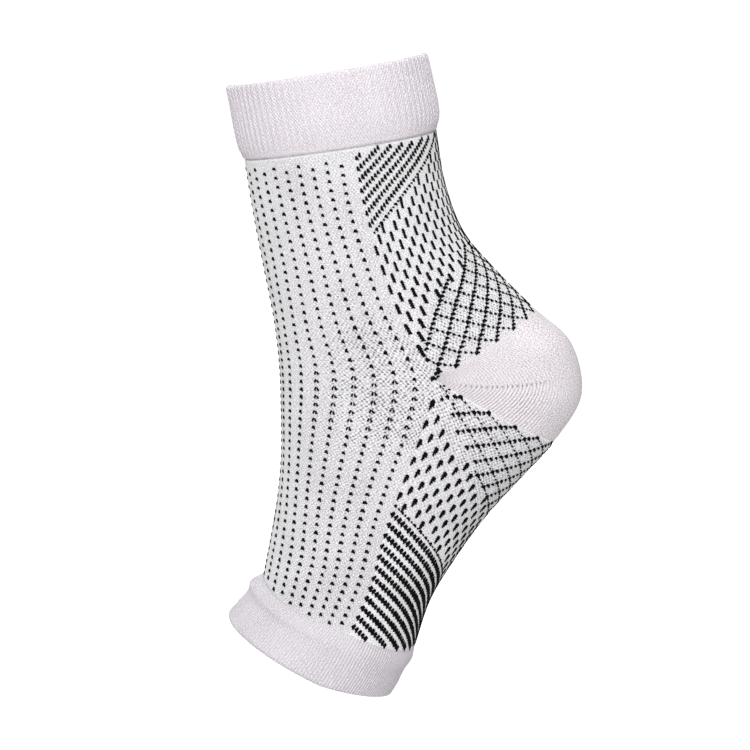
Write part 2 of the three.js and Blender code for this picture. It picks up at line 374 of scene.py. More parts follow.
def cloth_object(name, patches):
    """Patches are (points, wales, courses, relief, show, inside); the grids run down and round."""
    corners, charts, smooth = [], [], []
    for points, wales, courses, relief, show, inside in patches:
        smooth.append(np.full((len(points) - 1) * (points.shape[1] - 1), len(points) > 2))
        chart = np.stack(np.broadcast_arrays(wales, courses, relief, show), axis=-1)
        chart = np.broadcast_to(chart, points.shape[:2] + (4,))
        square = [np.s_[:-1, :-1], np.s_[:-1, 1:], np.s_[1:, 1:], np.s_[1:, :-1]]
        square = square[::-1] if inside else square
        for grid, kept in ((points, corners), (chart, charts)):
            kept.append(np.stack([grid[s] for s in square], axis=2).reshape(-1, grid.shape[-1]))
    corners, charts = np.concatenate(corners), np.concatenate(charts)
    places, index = np.unique(corners, axis=0, return_inverse=True)
    index = index.reshape(-1)
    mesh = bpy.data.meshes.new(name)
    mesh.from_pydata(places.tolist(), [], index.reshape(-1, 4).tolist())
    mesh.polygons.foreach_set("use_smooth", np.concatenate(smooth))
    chart_map = mesh.uv_layers.new(name="knit_chart")
    flat_chart = (charts[:, :2] + (CHART_START, 0.0)) / CHART_SPAN
    chart_map.uv.foreach_set("vector", flat_chart.astype(np.float32).ravel())
    on_points = np.zeros((len(places), 4))
    on_points[index] = charts
    for k, label in enumerate(("wale", "course", "relief", "show")):
        values = mesh.attributes.new(label, "FLOAT", "POINT")
        values.data.foreach_set("value", on_points[:, k].astype(np.float32))
    cloth = bpy.data.objects.new(name, mesh)
    scene.collection.objects.link(cloth)
    return cloth


def edge_patch(first, second, wales, course, show=0.0):
    """A patch that closes a wall between two rows of points; its faces turn out from the first."""
    return np.stack([first, second]), wales, course, 0.0, show, False


print("stitches across the UV map:", CHART_SPAN)

# %% [markdown]
# The body needs two more maps on its chart. Relief sets the depth of its small wale ridges and how
# much painted shade the gaps between its stitches get; it changes along the instep, the leg and the
# sole, and is less towards the front of the instep, which paints it lighter there. Show says how much
# dark yarn is seen between the pale stitches, where the cloth is stretched at the ankle and in the two
# lattices next to the heel.

# %% Borders and layers of the body
INNER_STEP = 8  # courses between rows of the inner layer
INNER_SHOW = 0.9
EDGE_SHOW = 0.2
# a border: its course at a wale, that wale, and the courses that it drops for each wale further
LEG_BORDER_NEAR = (79.3, 5.2, -1.34)
LEG_BORDER_FAR = (66.8, 20.0, -1.36)
LEG_BORDER_BEND = 17.5
LEG_BORDER_TOP = 53.0
FOOT_BORDER = (106.5, 2.08, 1.416)


def border(wale, line):
    course, from_wale, slope = line
    return course + slope * (wale - from_wale)


def leg_lattice_top(wale):
    """The course where the lattice above the heel begins, by the wale counted from the side line."""
    near, far = border(wale, LEG_BORDER_NEAR), border(wale, LEG_BORDER_FAR)
    return np.maximum(np.where(wale <= LEG_BORDER_BEND, near, far), LEG_BORDER_TOP)


def foot_lattice_end(wale):
    """The course where the lattice below the heel ends."""
    return border(wale, FOOT_BORDER)


def soft_step(value, low, high):
    share = np.clip((value - low) / (high - low), 0, 1)
    return share * share * (3 - 2 * share)


def body_patches(points, out, wales, courses, relief, show):
    """The two layers of one part of the body."""
    inner = (points - out * BODY_WALL)[::INNER_STEP]
    outer_layer = (points, wales, courses, relief, show, False)
    inner_layer = (inner, wales, courses[::INNER_STEP], 0.0, INNER_SHOW, True)
    return [outer_layer, inner_layer], inner


print("top of the leg's lattice at the side, in courses:", round(float(leg_lattice_top(0.0)), 1))

# %% Map the relief and the painted shade of the body
# relief along the instep, the leg and the sole: courses, then values there; it sets the small wale ridges
# and how much painted shade the gaps get, so less relief is lighter cloth
INSTEP_RELIEF_AND_SHADE = ((0, 90, 160, 216), (1.0, 1.12, 1.25, 1.3))
LEG_RELIEF_AND_SHADE = ((0, 40, 60), (0.75, 0.85, 0.95))
SOLE_RELIEF_AND_SHADE = ((96, 125, 150, 170), (0.9, 1.05, 1.1, 0.55))
FRONT_PAINTED_LIGHT = 0.2  # how much less relief and painted shade the front of the instep gets, which paints it lighter, and the wales where that sets in
FRONT_PAINTED_LIGHT_WALES = (20, 38)

from_side = FRONT_WALES - np.abs(front_wale)
front_course = all_courses[:, None] - instep_drop(from_side, all_courses[:, None])
instep_relief_and_shade = np.interp(all_courses, *INSTEP_RELIEF_AND_SHADE)[:, None]
instep_relief_and_shade = instep_relief_and_shade * (1 - FRONT_PAINTED_LIGHT * soft_step(from_side, *FRONT_PAINTED_LIGHT_WALES))
leg_relief_and_shade = np.interp(leg_courses, *LEG_RELIEF_AND_SHADE)[:, None]
sole_relief_and_shade = np.interp(foot_courses, *SOLE_RELIEF_AND_SHADE)[:, None]
print("most relief on the instep:", round(float(instep_relief_and_shade.max()), 2))

# %% Map the dark yarn that shows
# dark yarn that shows: the least of it, and how much more there is where it shows most
INSTEP_SHOW = (0.02, 0.92)
LEG_SHOW = (0.04, 0.86)
FOOT_SHOW = (0.1, 0.86)
# where it sets in and fades out, in courses, and in wales from the side line on the instep
ANKLE_START = (60, 84)
ANKLE_END = (118, 138)
ANKLE_WALES = (8, 30)
LEG_SHOW_START = (-6.0, 2.0)  # from the top of the lattice
LEG_SHOW_END = (91.0, 95.0)
FOOT_SHOW_START = (96.5, 98.5)
FOOT_SHOW_END = (-12.0, -3.0)  # from the end of the lattice
CORNER_WALES = 6  # next to the heel's corner it sets in earlier, by these courses
CORNER_COURSES = 3

at_ankle = soft_step(all_courses, *ANKLE_START) * (1 - soft_step(all_courses, *ANKLE_END))
front_part = at_ankle[:, None] * (1 - soft_step(from_side, *ANKLE_WALES))
front_show = INSTEP_SHOW[0] + INSTEP_SHOW[1] * front_part
leg_from_side = LEG_WALES - np.abs(leg_wale - FRONT_WALES - LEG_WALES)
in_leg_lattice = leg_courses[:, None] - leg_lattice_top(leg_from_side)
leg_show = LEG_SHOW[0] + LEG_SHOW[1] * soft_step(in_leg_lattice, *LEG_SHOW_START)
leg_show = leg_show * (1 - soft_step(leg_courses[:, None], *LEG_SHOW_END))
foot_from_side = FOOT_WALES - np.abs(foot_wale - FRONT_WALES - FOOT_WALES)
in_foot_lattice = foot_lattice_end(foot_from_side) - foot_courses[:, None]
foot_show = FOOT_SHOW[0] + FOOT_SHOW[1] * soft_step(in_foot_lattice, *FOOT_SHOW_END)
past_heel = foot_courses[:, None] + CORNER_COURSES * (foot_from_side < CORNER_WALES)
foot_show = foot_show * soft_step(past_heel, *FOOT_SHOW_START)
print("most dark yarn on the instep:", round(float(front_show.max()), 2))

# %% Join the parts of the body
front_layers, front_inner = body_patches(
    front_points, front_out, front_wale, front_course, instep_relief_and_shade, front_show
)
leg_layers, leg_inner = body_patches(
    leg_points, leg_out, leg_wale, leg_courses[:, None], leg_relief_and_shade, leg_show
)
foot_layers, foot_inner = body_patches(
    foot_points, foot_out, foot_wale, foot_courses[:, None], sole_relief_and_shade, foot_show
)
top, heel, toe = 0.0, float(HEEL_COURSE), float(TOE_COURSE)
raw_edges = [
    edge_patch(front_inner[0], front_points[0], front_wale, top, EDGE_SHOW),
    edge_patch(leg_inner[0], leg_points[0], leg_wale, top, EDGE_SHOW),
    edge_patch(front_points[-1], front_inner[-1], front_wale, toe, EDGE_SHOW),
    edge_patch(foot_points[-1], foot_inner[-1], foot_wale, toe, EDGE_SHOW),
    edge_patch(leg_points[-1], leg_inner[-1], leg_wale, heel, EDGE_SHOW),
    edge_patch(foot_inner[0], foot_points[0], foot_wale, heel, EDGE_SHOW),
]
sleeve_cloth = cloth_object("sleeve_cloth", front_layers + leg_layers + foot_layers + raw_edges)
print("faces of the body:", len(sleeve_cloth.data.polygons))

# %% [markdown]
# ## The heel pocket
# The heel is a fan of extra courses between two side corners, knitted from plain yarn, so it is
# fuller and smoother than the body. Its wales run from its upper edge to its lower one and bend at
# the gore line, where the machine turned. A row of small holes marks that line: they are dimples,
# painted dark with painted shade where one would see into the holes. The ridges fade towards the
# back. A small crown keeps the heel proud of the cloth round it.

# %% Shape the heel
HEEL_TUCK = 0.9 * MM  # how far the heel's edges run on under the body
HEEL_TIP = 0.5 * MM
HEEL_RIDGES = 50  # from the side corner to the back centre
HEEL_POINTS_A_RIDGE = 3
HEEL_ROWS = 120
TIP_STEPS = 2000  # angles that are tried for the corner's tip, from just behind the side line
TIP_FROM = 0.001
LEAST_FAN = 3 * HEEL_TUCK
SHARE_STEP = 0.01  # a small step down the fan, for directions on it


def heel_point(course, angle):
    """Points of the heel surface, for arrays of courses and angles of one shape."""
    lines = tube_lines(np.full(course.size, HEEL_COURSE), HEEL_COURSE + course.ravel())
    return section_points(lines, angle.reshape(-1, 1)).reshape(course.shape + (3,))


def fan_width(angle):
    ends = [heel_point(np.full(angle.shape, course), angle) for course in (0.0, float(HEEL_COURSES))]
    return np.linalg.norm(ends[0] - ends[1], axis=-1)


tip_search = np.linspace(QUARTER + TIP_FROM, math.pi, TIP_STEPS)
heel_tip_angle = tip_search[np.argmax(fan_width(tip_search) > HEEL_TIP)]
middle_lines = tube_lines(np.array([HEEL_COURSE]), np.array([HEEL_COURSE + HEEL_COURSES / 2]))
heel_wale = np.linspace(-HEEL_RIDGES, HEEL_RIDGES, 2 * HEEL_RIDGES * HEEL_POINTS_A_RIDGE + 1)
heel_shares = 1 - np.abs(heel_wale) / HEEL_RIDGES
heel_half = even_angles(middle_lines, heel_shares[None], heel_tip_angle, math.pi)[0]
heel_angle = np.where(heel_wale <= 0, heel_half, 2 * math.pi - heel_half)


def heel_surface(share, angle):
    margin = -HEEL_TUCK / np.maximum(fan_width(angle), LEAST_FAN)
    return heel_point(HEEL_COURSES * (margin + share * (1 - 2 * margin)), angle)


heel_share, heel_turn = np.meshgrid(np.linspace(0, 1, HEEL_ROWS + 1), heel_angle, indexing="ij")
heel_points = heel_surface(heel_share, heel_turn)
heel_round = heel_surface(heel_share, heel_turn + TURN_STEP)
heel_round = heel_round - heel_surface(heel_share, heel_turn - TURN_STEP)
heel_down = heel_surface(np.minimum(heel_share + SHARE_STEP, 1), heel_turn)
heel_down = heel_down - heel_surface(np.maximum(heel_share - SHARE_STEP, 0), heel_turn)
heel_out = unit(np.cross(heel_round, heel_down))
print("heel tip angle in degrees:", round(math.degrees(heel_tip_angle), 1))

# %% Crown and gore line of the heel
HEEL_WALL = 1.6 * MM
HEEL_CROWN = 0.16 * MM
CROWN_REACH = 2.0 * MM
EDGE_SINK = 0.3 * MM  # how far the tucked edge lies lower
# places are counted in ridges from the corner
GORE_LINE = ((5, 18, 30), (0.70, 0.603, 0.546))  # places, and how far down the fan the line is there
GORE_STEP = 4 / 3  # ridges from one gore hole to the next
GORE_DEPTH = 0.3 * MM
GORE_REACH = 0.45 * MM
GORE_START = (4, 9)  # where the holes set in, and where they fade
GORE_END = (26, 34)

heel_width = fan_width(heel_turn)
edge_distance = np.minimum(heel_share, 1 - heel_share) * (heel_width + 2 * HEEL_TUCK) - HEEL_TUCK
crown = HEEL_CROWN * soft_step(edge_distance, 0.0, CROWN_REACH)
crown = crown - EDGE_SINK * (1 - soft_step(edge_distance, -HEEL_TUCK, 0.0))
from_tip = HEEL_RIDGES - np.abs(heel_wale)
below_gore = heel_share - np.interp(from_tip, *GORE_LINE)
gore_row = np.exp(-((below_gore * heel_width / GORE_REACH) ** 2))
gore_beat = np.maximum(np.cos(2 * math.pi * from_tip / GORE_STEP), 0)
# the gore holes are dimples; the same mask later paints shade into them
gore_holes = gore_row * gore_beat * soft_step(from_tip, *GORE_START) * (1 - soft_step(from_tip, *GORE_END))
heel_outer = heel_points + heel_out * (crown - GORE_DEPTH * gore_holes)[..., None]
heel_inner = heel_points - heel_out * HEEL_WALL
print("widest part of the heel's fan in mm:", round(float(heel_width.max()) / MM, 1))

# %% Ridges of the heel
HEEL_PITCH = 1.14 * MM
LEAN_PLACES = (4, 12, 30, 46)
UPPER_LEANS = (-0.5, -0.5, -0.35, 0.0)  # how far a wale leans for each step away from the gore line
LOWER_LEANS = (0.64, 0.55, 0.18, 0.0)
LEAN_EASE = 30.0  # the lower wales lean less the further they run
GORE_RELIEF = ((-0.03, 0.09), (0.66, 1.0))  # the ridges are deeper below the gore line
EDGE_RELIEF = (-0.3 * MM, 1.0 * MM)
BACK_EASE = 0.85  # how much of the ridges fades towards the back, and the places where it does
BACK_PLACES = (24, 38)

from_gore = below_gore * heel_width / HEEL_PITCH
upper_lean = np.interp(from_tip, LEAN_PLACES, UPPER_LEANS)
lower_lean = np.interp(from_tip, LEAN_PLACES, LOWER_LEANS)
eased = LEAN_EASE * (1 - np.exp(-np.maximum(from_gore, 0) / LEAN_EASE))
heel_lean = np.where(from_gore < 0, upper_lean * from_gore, lower_lean * eased)
heel_wales = heel_wale + np.where(heel_wale <= 0, 1, -1) * heel_lean
heel_relief = np.interp(below_gore, *GORE_RELIEF)
heel_relief = heel_relief * soft_step(edge_distance, *EDGE_RELIEF)
heel_relief = heel_relief * (1 - BACK_EASE * soft_step(from_tip, *BACK_PLACES))
print("most lean of a ridge, in ridges:", round(float(np.abs(heel_lean).max()), 1))

# %% Close the heel
heel_course = heel_share * HEEL_COURSES
heel_patches = [
    # the gore holes go in as the show map, which the heel's finish paints dark as painted shade
    (heel_outer, heel_wales, heel_course, heel_relief, gore_holes, False),
    (heel_inner, heel_wales, heel_course, 0.0, 0.0, True),
    edge_patch(heel_inner[0], heel_outer[0], heel_wales[0], 0.0),
    edge_patch(heel_outer[-1], heel_inner[-1], heel_wales[-1], float(HEEL_COURSES)),
    edge_patch(heel_outer[:, 0], heel_inner[:, 0], heel_wales[:, 0], heel_course[:, 0]),
    edge_patch(heel_inner[:, -1], heel_outer[:, -1], heel_wales[:, -1], heel_course[:, -1]),
]
heel_cloth = cloth_object("heel_cloth", heel_patches)
print("faces of the heel:", len(heel_cloth.data.polygons))

# %% [markdown]
# ## The cuffs
# Each cuff is a band of knit folded double, so its two edges are round and its wall is twice as thick.
# The leg cuff is a fine pebbled knit, in ribs of a few wales that show most at the front and the back.
# The toe cuff is a one by one rib that flows out of the body, with a valley round its front. Both are
# one loop of rows that goes along the outside and back along the inside.

# %% Rows of the cuffs
CUFF_WIDEST = 0.575  # how far from front to back a cuff is widest

# front x and z, back x and z, half width, wall; from the seam to the rim
LEG_CUFF_ROWS = np.array([
    (-75.4, 84.0, 2.4, 95.8, 34.7, 2.6),
    (-77.4, 91.5, 2.6, 103.4, 35.3, 2.8),
    (-79.2, 101.0, 0.5, 113.4, 35.1, 2.8),
    (-81.0, 110.2, -1.8, 123.4, 35.0, 2.8),
]) * MM
TOE_CUFF_ROWS = np.array([
    (-68.5, -84.9, -6.4, -114.4, 40.1, 1.8),
    (-73.2, -87.7, -7.4, -118.2, 41.3, 2.0),
    (-74.9, -92.6, -10.4, -122.6, 41.7, 2.2),
    (-78.2, -96.6, -12.8, -127.8, 42.6, 2.4),
    (-81.4, -100.4, -15.6, -132.8, 43.8, 2.4),
]) * MM


def cuff_lines(rows, share):
    """The seven numbers of each section of a cuff, and its wall."""
    read = smooth_rows(rows, np.asarray(share) * (len(rows) - 1))
    front, back = read[:, 0:2], read[:, 2:4]
    side = front + (back - front) * CUFF_WIDEST
    return np.hstack([front, side, read[:, 4:5], back]), read[:, 5]


def cuff_angles(rows, columns):
    """Angles of evenly spaced columns round a cuff's middle row."""
    lines, _ = cuff_lines(rows, np.array([0.5]))
    shares = np.linspace(0, 1, columns + 1)[None]
    return even_angles(lines, shares, 0.0, 2 * math.pi)[0]


print("rows of the two cuffs:", len(LEG_CUFF_ROWS), len(TOE_CUFF_ROWS))

# %% Rings of the cuffs
ROLL_OUT = 0.22  # the share of the toe cuff in which it leaves the line of the body
RIM_LIFT = 2.2 * MM  # how far the toe rim rises behind the side line
VALLEY_DEPTH = 0.8 * MM  # a crease round the front of the toe cuff
VALLEY_PLACE = 0.36
VALLEY_REACH = 0.12
VALLEY_FRONT = (0.1, 0.7)  # how far ahead of the side line it sets in, 1 at the front
TUCK_SHARE = 0.16  # the share of a cuff in which its seam is tucked in
DIP_POWER = 1.2
CUFF_STEP = 0.02  # a small share of a cuff, for directions on it


def cuff_ring(rows, share, depth, beyond, angles, seam_on_top, tuck, far_dip):
    """A ring of points, a share of the wall below the outside and a share of it past the end."""
    lines, wall = cuff_lines(rows, np.array([share]))
    turn = angles[None]
    point = section_points(lines, turn)[0]
    if seam_on_top:
        point[:, 2] -= toe_sag(TOE_COURSE, angles) * (1 - share)
        point[:, 2] += RIM_LIFT * share**2 * np.abs(np.sin(2 * angles)) * (np.cos(angles) < 0)
        body_end = tube_points(np.array([TOE_COURSE]), HEEL_COURSES, turn)[0]
        point = body_end + (point - body_end) * soft_step(share, 0.0, ROLL_OUT)
    ends = [cuff_lines(rows, np.array([np.clip(share + d, 0, 1)]))[0] for d in (CUFF_STEP, -CUFF_STEP)]
    ahead = section_points(ends[0], turn)[0] - section_points(ends[1], turn)[0]
    round_cuff = section_points(lines, turn + TURN_STEP)[0] - section_points(lines, turn - TURN_STEP)[0]
    out = unit(np.cross(round_cuff, ahead)) * (1 if seam_on_top else -1)
    ring = point - out * depth * wall[0] + unit(ahead) * beyond * wall[0]
    ring -= out * tuck * (1 - soft_step(share, 0.0, TUCK_SHARE))
    dip = far_dip * share**2 * np.maximum(np.sin(angles), 0) ** DIP_POWER
    ring -= unit(ahead) * dip[:, None]
    if seam_on_top:
        valley = VALLEY_DEPTH * math.exp(-(((share - VALLEY_PLACE) / VALLEY_REACH) ** 2))
        ring -= out * (valley * soft_step(np.cos(angles), *VALLEY_FRONT))[:, None]
    ring[-1] = ring[0]
    return ring


print("valley of the toe cuff in mm:", round(VALLEY_DEPTH / MM, 1))

# %% Fold the cuffs
FOLD_STEPS = 8
POINTS_A_RIB = 3
CUFF_COURSE = 0.95 * MM
OFF_SEAM = (0.02, 0.12)  # the ribs rise over this share of a cuff


def cuff_cloth(name, rows, ribs, outer_rows, inner_rows, seam_on_top, tuck, far_dip, side_relief):
    """One folded band: the outside, the fold at the rim, the inside and the fold at the seam."""
    angles = cuff_angles(rows, ribs * POINTS_A_RIB)
    rib = np.linspace(0, ribs, len(angles))
    bends = np.linspace(0, math.pi, FOLD_STEPS + 1)[1:-1]
    stops = [(share, 0.0, 0.0) for share in np.linspace(0, 1, outer_rows + 1)]
    stops += [(1.0, 0.5 - 0.5 * math.cos(b), 0.5 * math.sin(b)) for b in bends]
    stops += [(share, 1.0, 0.0) for share in np.linspace(1, 0, inner_rows + 1)]
    stops += [(0.0, 0.5 + 0.5 * math.cos(b), -0.5 * math.sin(b)) for b in bends]
    loop = np.array([cuff_ring(rows, *stop, angles, seam_on_top, tuck, far_dip) for stop in stops])
    loop = np.concatenate([loop, loop[:1]])
    steps = np.linalg.norm(np.diff(loop, axis=0), axis=-1).mean(axis=1)
    run = np.pad(np.cumsum(steps), (1, 0)) / CUFF_COURSE
    off_seam = np.array([soft_step(share, *OFF_SEAM) for share, _, _ in stops + stops[:1]])
    relief = off_seam[:, None] * (side_relief + (1 - side_relief) * np.cos(angles) ** 2)
    return cloth_object(name, [(loop, rib, run[:, None], relief, 0.0, not seam_on_top)])


leg_cuff = cuff_cloth(
    "leg_cuff",
    LEG_CUFF_ROWS,
    ribs=196,
    outer_rows=44,
    inner_rows=12,
    seam_on_top=False,
    tuck=0.3 * MM,
    far_dip=4.0 * MM,
    side_relief=0.25,
)
toe_cuff = cuff_cloth(
    "toe_cuff_rib",
    TOE_CUFF_ROWS,
    ribs=188,
    outer_rows=40,
    inner_rows=10,
    seam_on_top=True,
    tuck=0.0,
    far_dip=0.0,
    side_relief=0.8,
)
print("faces of the cuffs:", len(leg_cuff.data.polygons), len(toe_cuff.data.polygons))

# %% [markdown]
# ## Small node helpers
# Geometry trees and shader trees are wired in the same way, so a few helpers serve both. One makes a
# node and fills its inputs with numbers or links, and three more do so for the commonest kinds of
# node. The last gives a new tree its named inputs and outputs.

# %% Node helpers
FLOAT = "NodeSocketFloat"
GEOMETRY = "NodeSocketGeometry"


def feed(tree, node, values):
    """Fills inputs of a node, by name or number: a socket is linked, and a number is set."""
    for label, value in values.items():
        if isinstance(value, bpy.types.NodeSocket):
            tree.links.new(value, node.inputs[label])
        else:
            node.inputs[label].default_value = value


def add_node(tree, kind, values=None, **settings):
    made = tree.nodes.new(kind)
    for key, value in settings.items():
        setattr(made, key, value)
    feed(tree, made, values or {})
    return made


def maths(tree, operation, *values, clamp=False):
    """A Math node from numbers and sockets."""
    values = dict(enumerate(values))
    return add_node(tree, "ShaderNodeMath", values, operation=operation, use_clamp=clamp).outputs[0]


def vector_maths(tree, operation, values):
    return add_node(tree, "ShaderNodeVectorMath", values, operation=operation).outputs[0]


def joined(tree, x, y, z=0.0):
    return add_node(tree, "ShaderNodeCombineXYZ", {0: x, 1: y, 2: z}).outputs[0]


def new_tree(name, kind, inputs, outputs):
    """A node group whose inputs are (label, socket type, default) and outputs (label, socket type)."""
    tree = bpy.data.node_groups.new(name, kind)
    for label, socket_type, default in inputs:
        socket = tree.interface.new_socket(name=label, in_out="INPUT", socket_type=socket_type)
        if default is not None:
            socket.default_value = default
    for label, socket_type in outputs:
        tree.interface.new_socket(name=label, in_out="OUTPUT", socket_type=socket_type)
    return tree, add_node(tree, "NodeGroupInput").outputs, add_node(tree, "NodeGroupOutput")


print("node helpers ready")

# %% [markdown]
# ## The knit finish
# Seen close, this knit is a field of small pearls: each stitch bulges, and its neighbours in the next
# wale sit half a step lower. A product of two waves over the knit chart draws exactly that, and a
# third wave adds ribs. The group gives a height, a mask of the gaps, where the finishes paint shade,
# and a fine fibre value. It also gives the pits between the pearls, each with a chance of its own, for
# dark yarn that shows there. A little noise in the chart keeps the rows from looking printed. Every
# knitted finish uses the group.

# %% The pearls of plain knit
WANDER_SCALE = 0.8  # noise over the chart: for stitches out of line, and for fibres
FIBRE_SCALE = 1.9

pearls, knit_in, pearls_out = new_tree(
    "knit_pearls",
    "ShaderNodeTree",
    [
        ("Chart", "NodeSocketVector", None),
        ("Wales", FLOAT, 1.0),
        ("Pearl", FLOAT, 1.0),
        ("Rib", FLOAT, 0.0),
        ("Jitter", FLOAT, 0.2),
        ("Peak", FLOAT, 2.0),
    ],
    [(label, FLOAT) for label in ("Height", "Gap", "Fibre", "Pit", "Chance")],
)
wander = add_node(
    pearls,
    "ShaderNodeTexNoise",
    {"Vector": knit_in["Chart"], "Scale": WANDER_SCALE, "Detail": 2.0},
    noise_dimensions="2D",
).outputs["Color"]
wander = vector_maths(pearls, "MULTIPLY_ADD", {0: wander, 1: (1.0, 1.0, 0.0), 2: (-0.5, -0.5, 0.0)})
wander = vector_maths(pearls, "SCALE", {0: wander, "Scale": knit_in["Jitter"]})
yarn_chart = vector_maths(pearls, "ADD", {0: knit_in["Chart"], 1: wander})
wale_run, course_run, _ = add_node(pearls, "ShaderNodeSeparateXYZ", {0: yarn_chart}).outputs
wale_step = maths(pearls, "SUBTRACT", maths(pearls, "MULTIPLY", wale_run, knit_in["Wales"]), 0.5)
wale_turn = maths(pearls, "MULTIPLY", wale_step, math.pi)
course_wave = maths(pearls, "COSINE", maths(pearls, "MULTIPLY", course_run, math.pi))
pearl_wave = maths(pearls, "MULTIPLY", maths(pearls, "COSINE", wale_turn), course_wave)
rib_wave = maths(pearls, "COSINE", maths(pearls, "MULTIPLY", wale_turn, 2.0))
pearl_part = maths(pearls, "MULTIPLY", pearl_wave, knit_in["Pearl"])
rib_part = maths(pearls, "MULTIPLY", rib_wave, knit_in["Rib"])
both_waves = maths(pearls, "ADD", pearl_part, rib_part)
pearl_height = maths(pearls, "MULTIPLY_ADD", both_waves, 0.5, 0.5, clamp=True)
pearl_top = maths(pearls, "POWER", pearl_height, knit_in["Peak"])
fibres = add_node(
    pearls,
    "ShaderNodeTexNoise",
    {"Vector": yarn_chart, "Scale": FIBRE_SCALE, "Detail": 4.0, "Roughness": 0.7},
    noise_dimensions="2D",
).outputs[0]
print("knit group nodes so far:", len(pearls.nodes))

# %% The pits between the pearls
pit = maths(pearls, "MULTIPLY", pearl_wave, -1.0, clamp=True)
pit = maths(pearls, "MULTIPLY", pit, maths(pearls, "MULTIPLY", course_wave, course_wave))
pit_cell = joined(pearls, maths(pearls, "ROUND", wale_step), maths(pearls, "ROUND", course_run))
pit_chance = add_node(pearls, "ShaderNodeTexWhiteNoise", {"Vector": pit_cell}, noise_dimensions="2D")
knit_values = {
    "Height": pearl_height,
    "Gap": maths(pearls, "SUBTRACT", 1.0, pearl_top, clamp=True),
    "Fibre": fibres,
    "Pit": pit,
    "Chance": pit_chance.outputs["Value"],
}
feed(pearls, pearls_out, knit_values)
print("knit group nodes:", len(pearls.nodes))

# %% Colours and marks
SPECK_ROUND = 0.6
SPECK_CONTRAST = 2.2


def mix_colours(tree, share, first, second):
    """A Mix node for colours; first and second are colours or sockets."""
    ends = [c if isinstance(c, bpy.types.NodeSocket) else (*c, 1.0) for c in (first, second)]
    mix = add_node(tree, "ShaderNodeMix", {0: share, 6: ends[0], 7: ends[1]}, data_type="RGBA")
    return mix.outputs[2]


def point_value(tree, label):
    return add_node(tree, "ShaderNodeAttribute", attribute_name=label).outputs["Fac"]


def speck_mask(tree, knit, shown):
    """Dark yarn seen through the pits between stitches; shown is the share of pits that have it."""
    spot = maths(tree, "POWER", knit["Pit"], SPECK_ROUND)
    dark = maths(tree, "SUBTRACT", shown, knit["Chance"])
    return maths(tree, "MULTIPLY", spot, maths(tree, "MULTIPLY", dark, SPECK_CONTRAST, clamp=True))


print("contrast of the specks:", SPECK_CONTRAST)

# %% A knitted finish
PLAIN_SHADE = 0.14  # how much greyer the heel is where no ridge shows
# specks are dark yarn that shows; the gore holes are painted dark as painted shade
MARK_STRENGTHS = {"specks": 0.95, "holes": 0.8}
DARK_YARN_AND_HOLE_SHADE = (0.03, 0.03, 0.035)
PATCH_SCALE = 55.0  # soft patches of tone
PATCH_TONE = 0.3
FIBRE_BUMP = 0.5  # what fibres add to the height and the roughness of a stitch
FIBRE_ROUGH = 0.15
LEAST_ROUGH = 0.76


def knit_finish(name, yarn, shade, waves, bump_depth, gap_share, fuzz, sheen, marks=None):
    """A material for plain knit: pale yarn, painted shade in the gaps, soft patches of tone, raised
    stitches, sheen.
    """
    finish = bpy.data.materials.new(name)
    finish.use_nodes = True
    tree = finish.node_tree
    chart = add_node(tree, "ShaderNodeUVMap", uv_map="knit_chart").outputs["UV"]
    chart = vector_maths(tree, "SCALE", {0: chart, "Scale": CHART_SPAN})
    knit_node = add_node(tree, "ShaderNodeGroup", {"Chart": chart, **waves}, node_tree=pearls)
    knit = knit_node.outputs
    # painted shade: the gaps between pearls are mixed towards the shade colour, by gap_share
    gap = maths(tree, "MULTIPLY", knit["Gap"], gap_share)
    # heel: its ridges, and the painted shade along them, follow the relief map; where no ridge shows it is
    # greyer
    if marks == "holes":
        deep = point_value(tree, "relief")
        feed(tree, knit_node, {"Rib": maths(tree, "MULTIPLY", deep, waves["Rib"])})
        gap = maths(tree, "MULTIPLY_ADD", maths(tree, "SUBTRACT", 1.0, deep), PLAIN_SHADE, gap)
    # body: the painted shade in the gaps follows the relief map
    if marks == "specks":
        gap = maths(tree, "MULTIPLY", gap, point_value(tree, "relief"))
    place = add_node(tree, "ShaderNodeTexCoord").outputs["Object"]
    patches = {"Vector": place, "Scale": PATCH_SCALE, "Detail": 4.0}
    patches = add_node(tree, "ShaderNodeTexNoise", patches).outputs[0]
    tone = maths(tree, "MULTIPLY_ADD", patches, PATCH_TONE, -PATCH_TONE / 2)
    tone = maths(tree, "ADD", tone, maths(tree, "MULTIPLY_ADD", knit["Fibre"], fuzz, -0.5 * fuzz))
    tone = maths(tree, "ADD", tone, gap, clamp=True)
    # tone: random patches, fibres and the painted shade of the gaps
    colour = mix_colours(tree, tone, yarn, shade)
    # dark yarn at the body's specks, painted shade in the heel's gore holes
    if marks:
        shown = point_value(tree, "show")
        marked = speck_mask(tree, knit, shown) if marks == "specks" else shown
        marked = maths(tree, "MULTIPLY", marked, MARK_STRENGTHS[marks])
        colour = mix_colours(tree, marked, colour, DARK_YARN_AND_HOLE_SHADE)
    height = maths(tree, "MULTIPLY_ADD", knit["Fibre"], FIBRE_BUMP, knit["Height"])
    bump = {"Strength": 1.0, "Distance": bump_depth, "Height": height}
    looks = {
        "Base Color": colour,
        "Roughness": maths(tree, "MULTIPLY_ADD", knit["Fibre"], FIBRE_ROUGH, LEAST_ROUGH),
        "Normal": add_node(tree, "ShaderNodeBump", bump).outputs[0],
        "Specular IOR Level": 0.2,
        "Sheen Weight": sheen,
        "Sheen Roughness": 0.6,
    }
    feed(tree, tree.nodes["Principled BSDF"], looks)
    return finish


print("marks that a finish may have:", list(MARK_STRENGTHS))

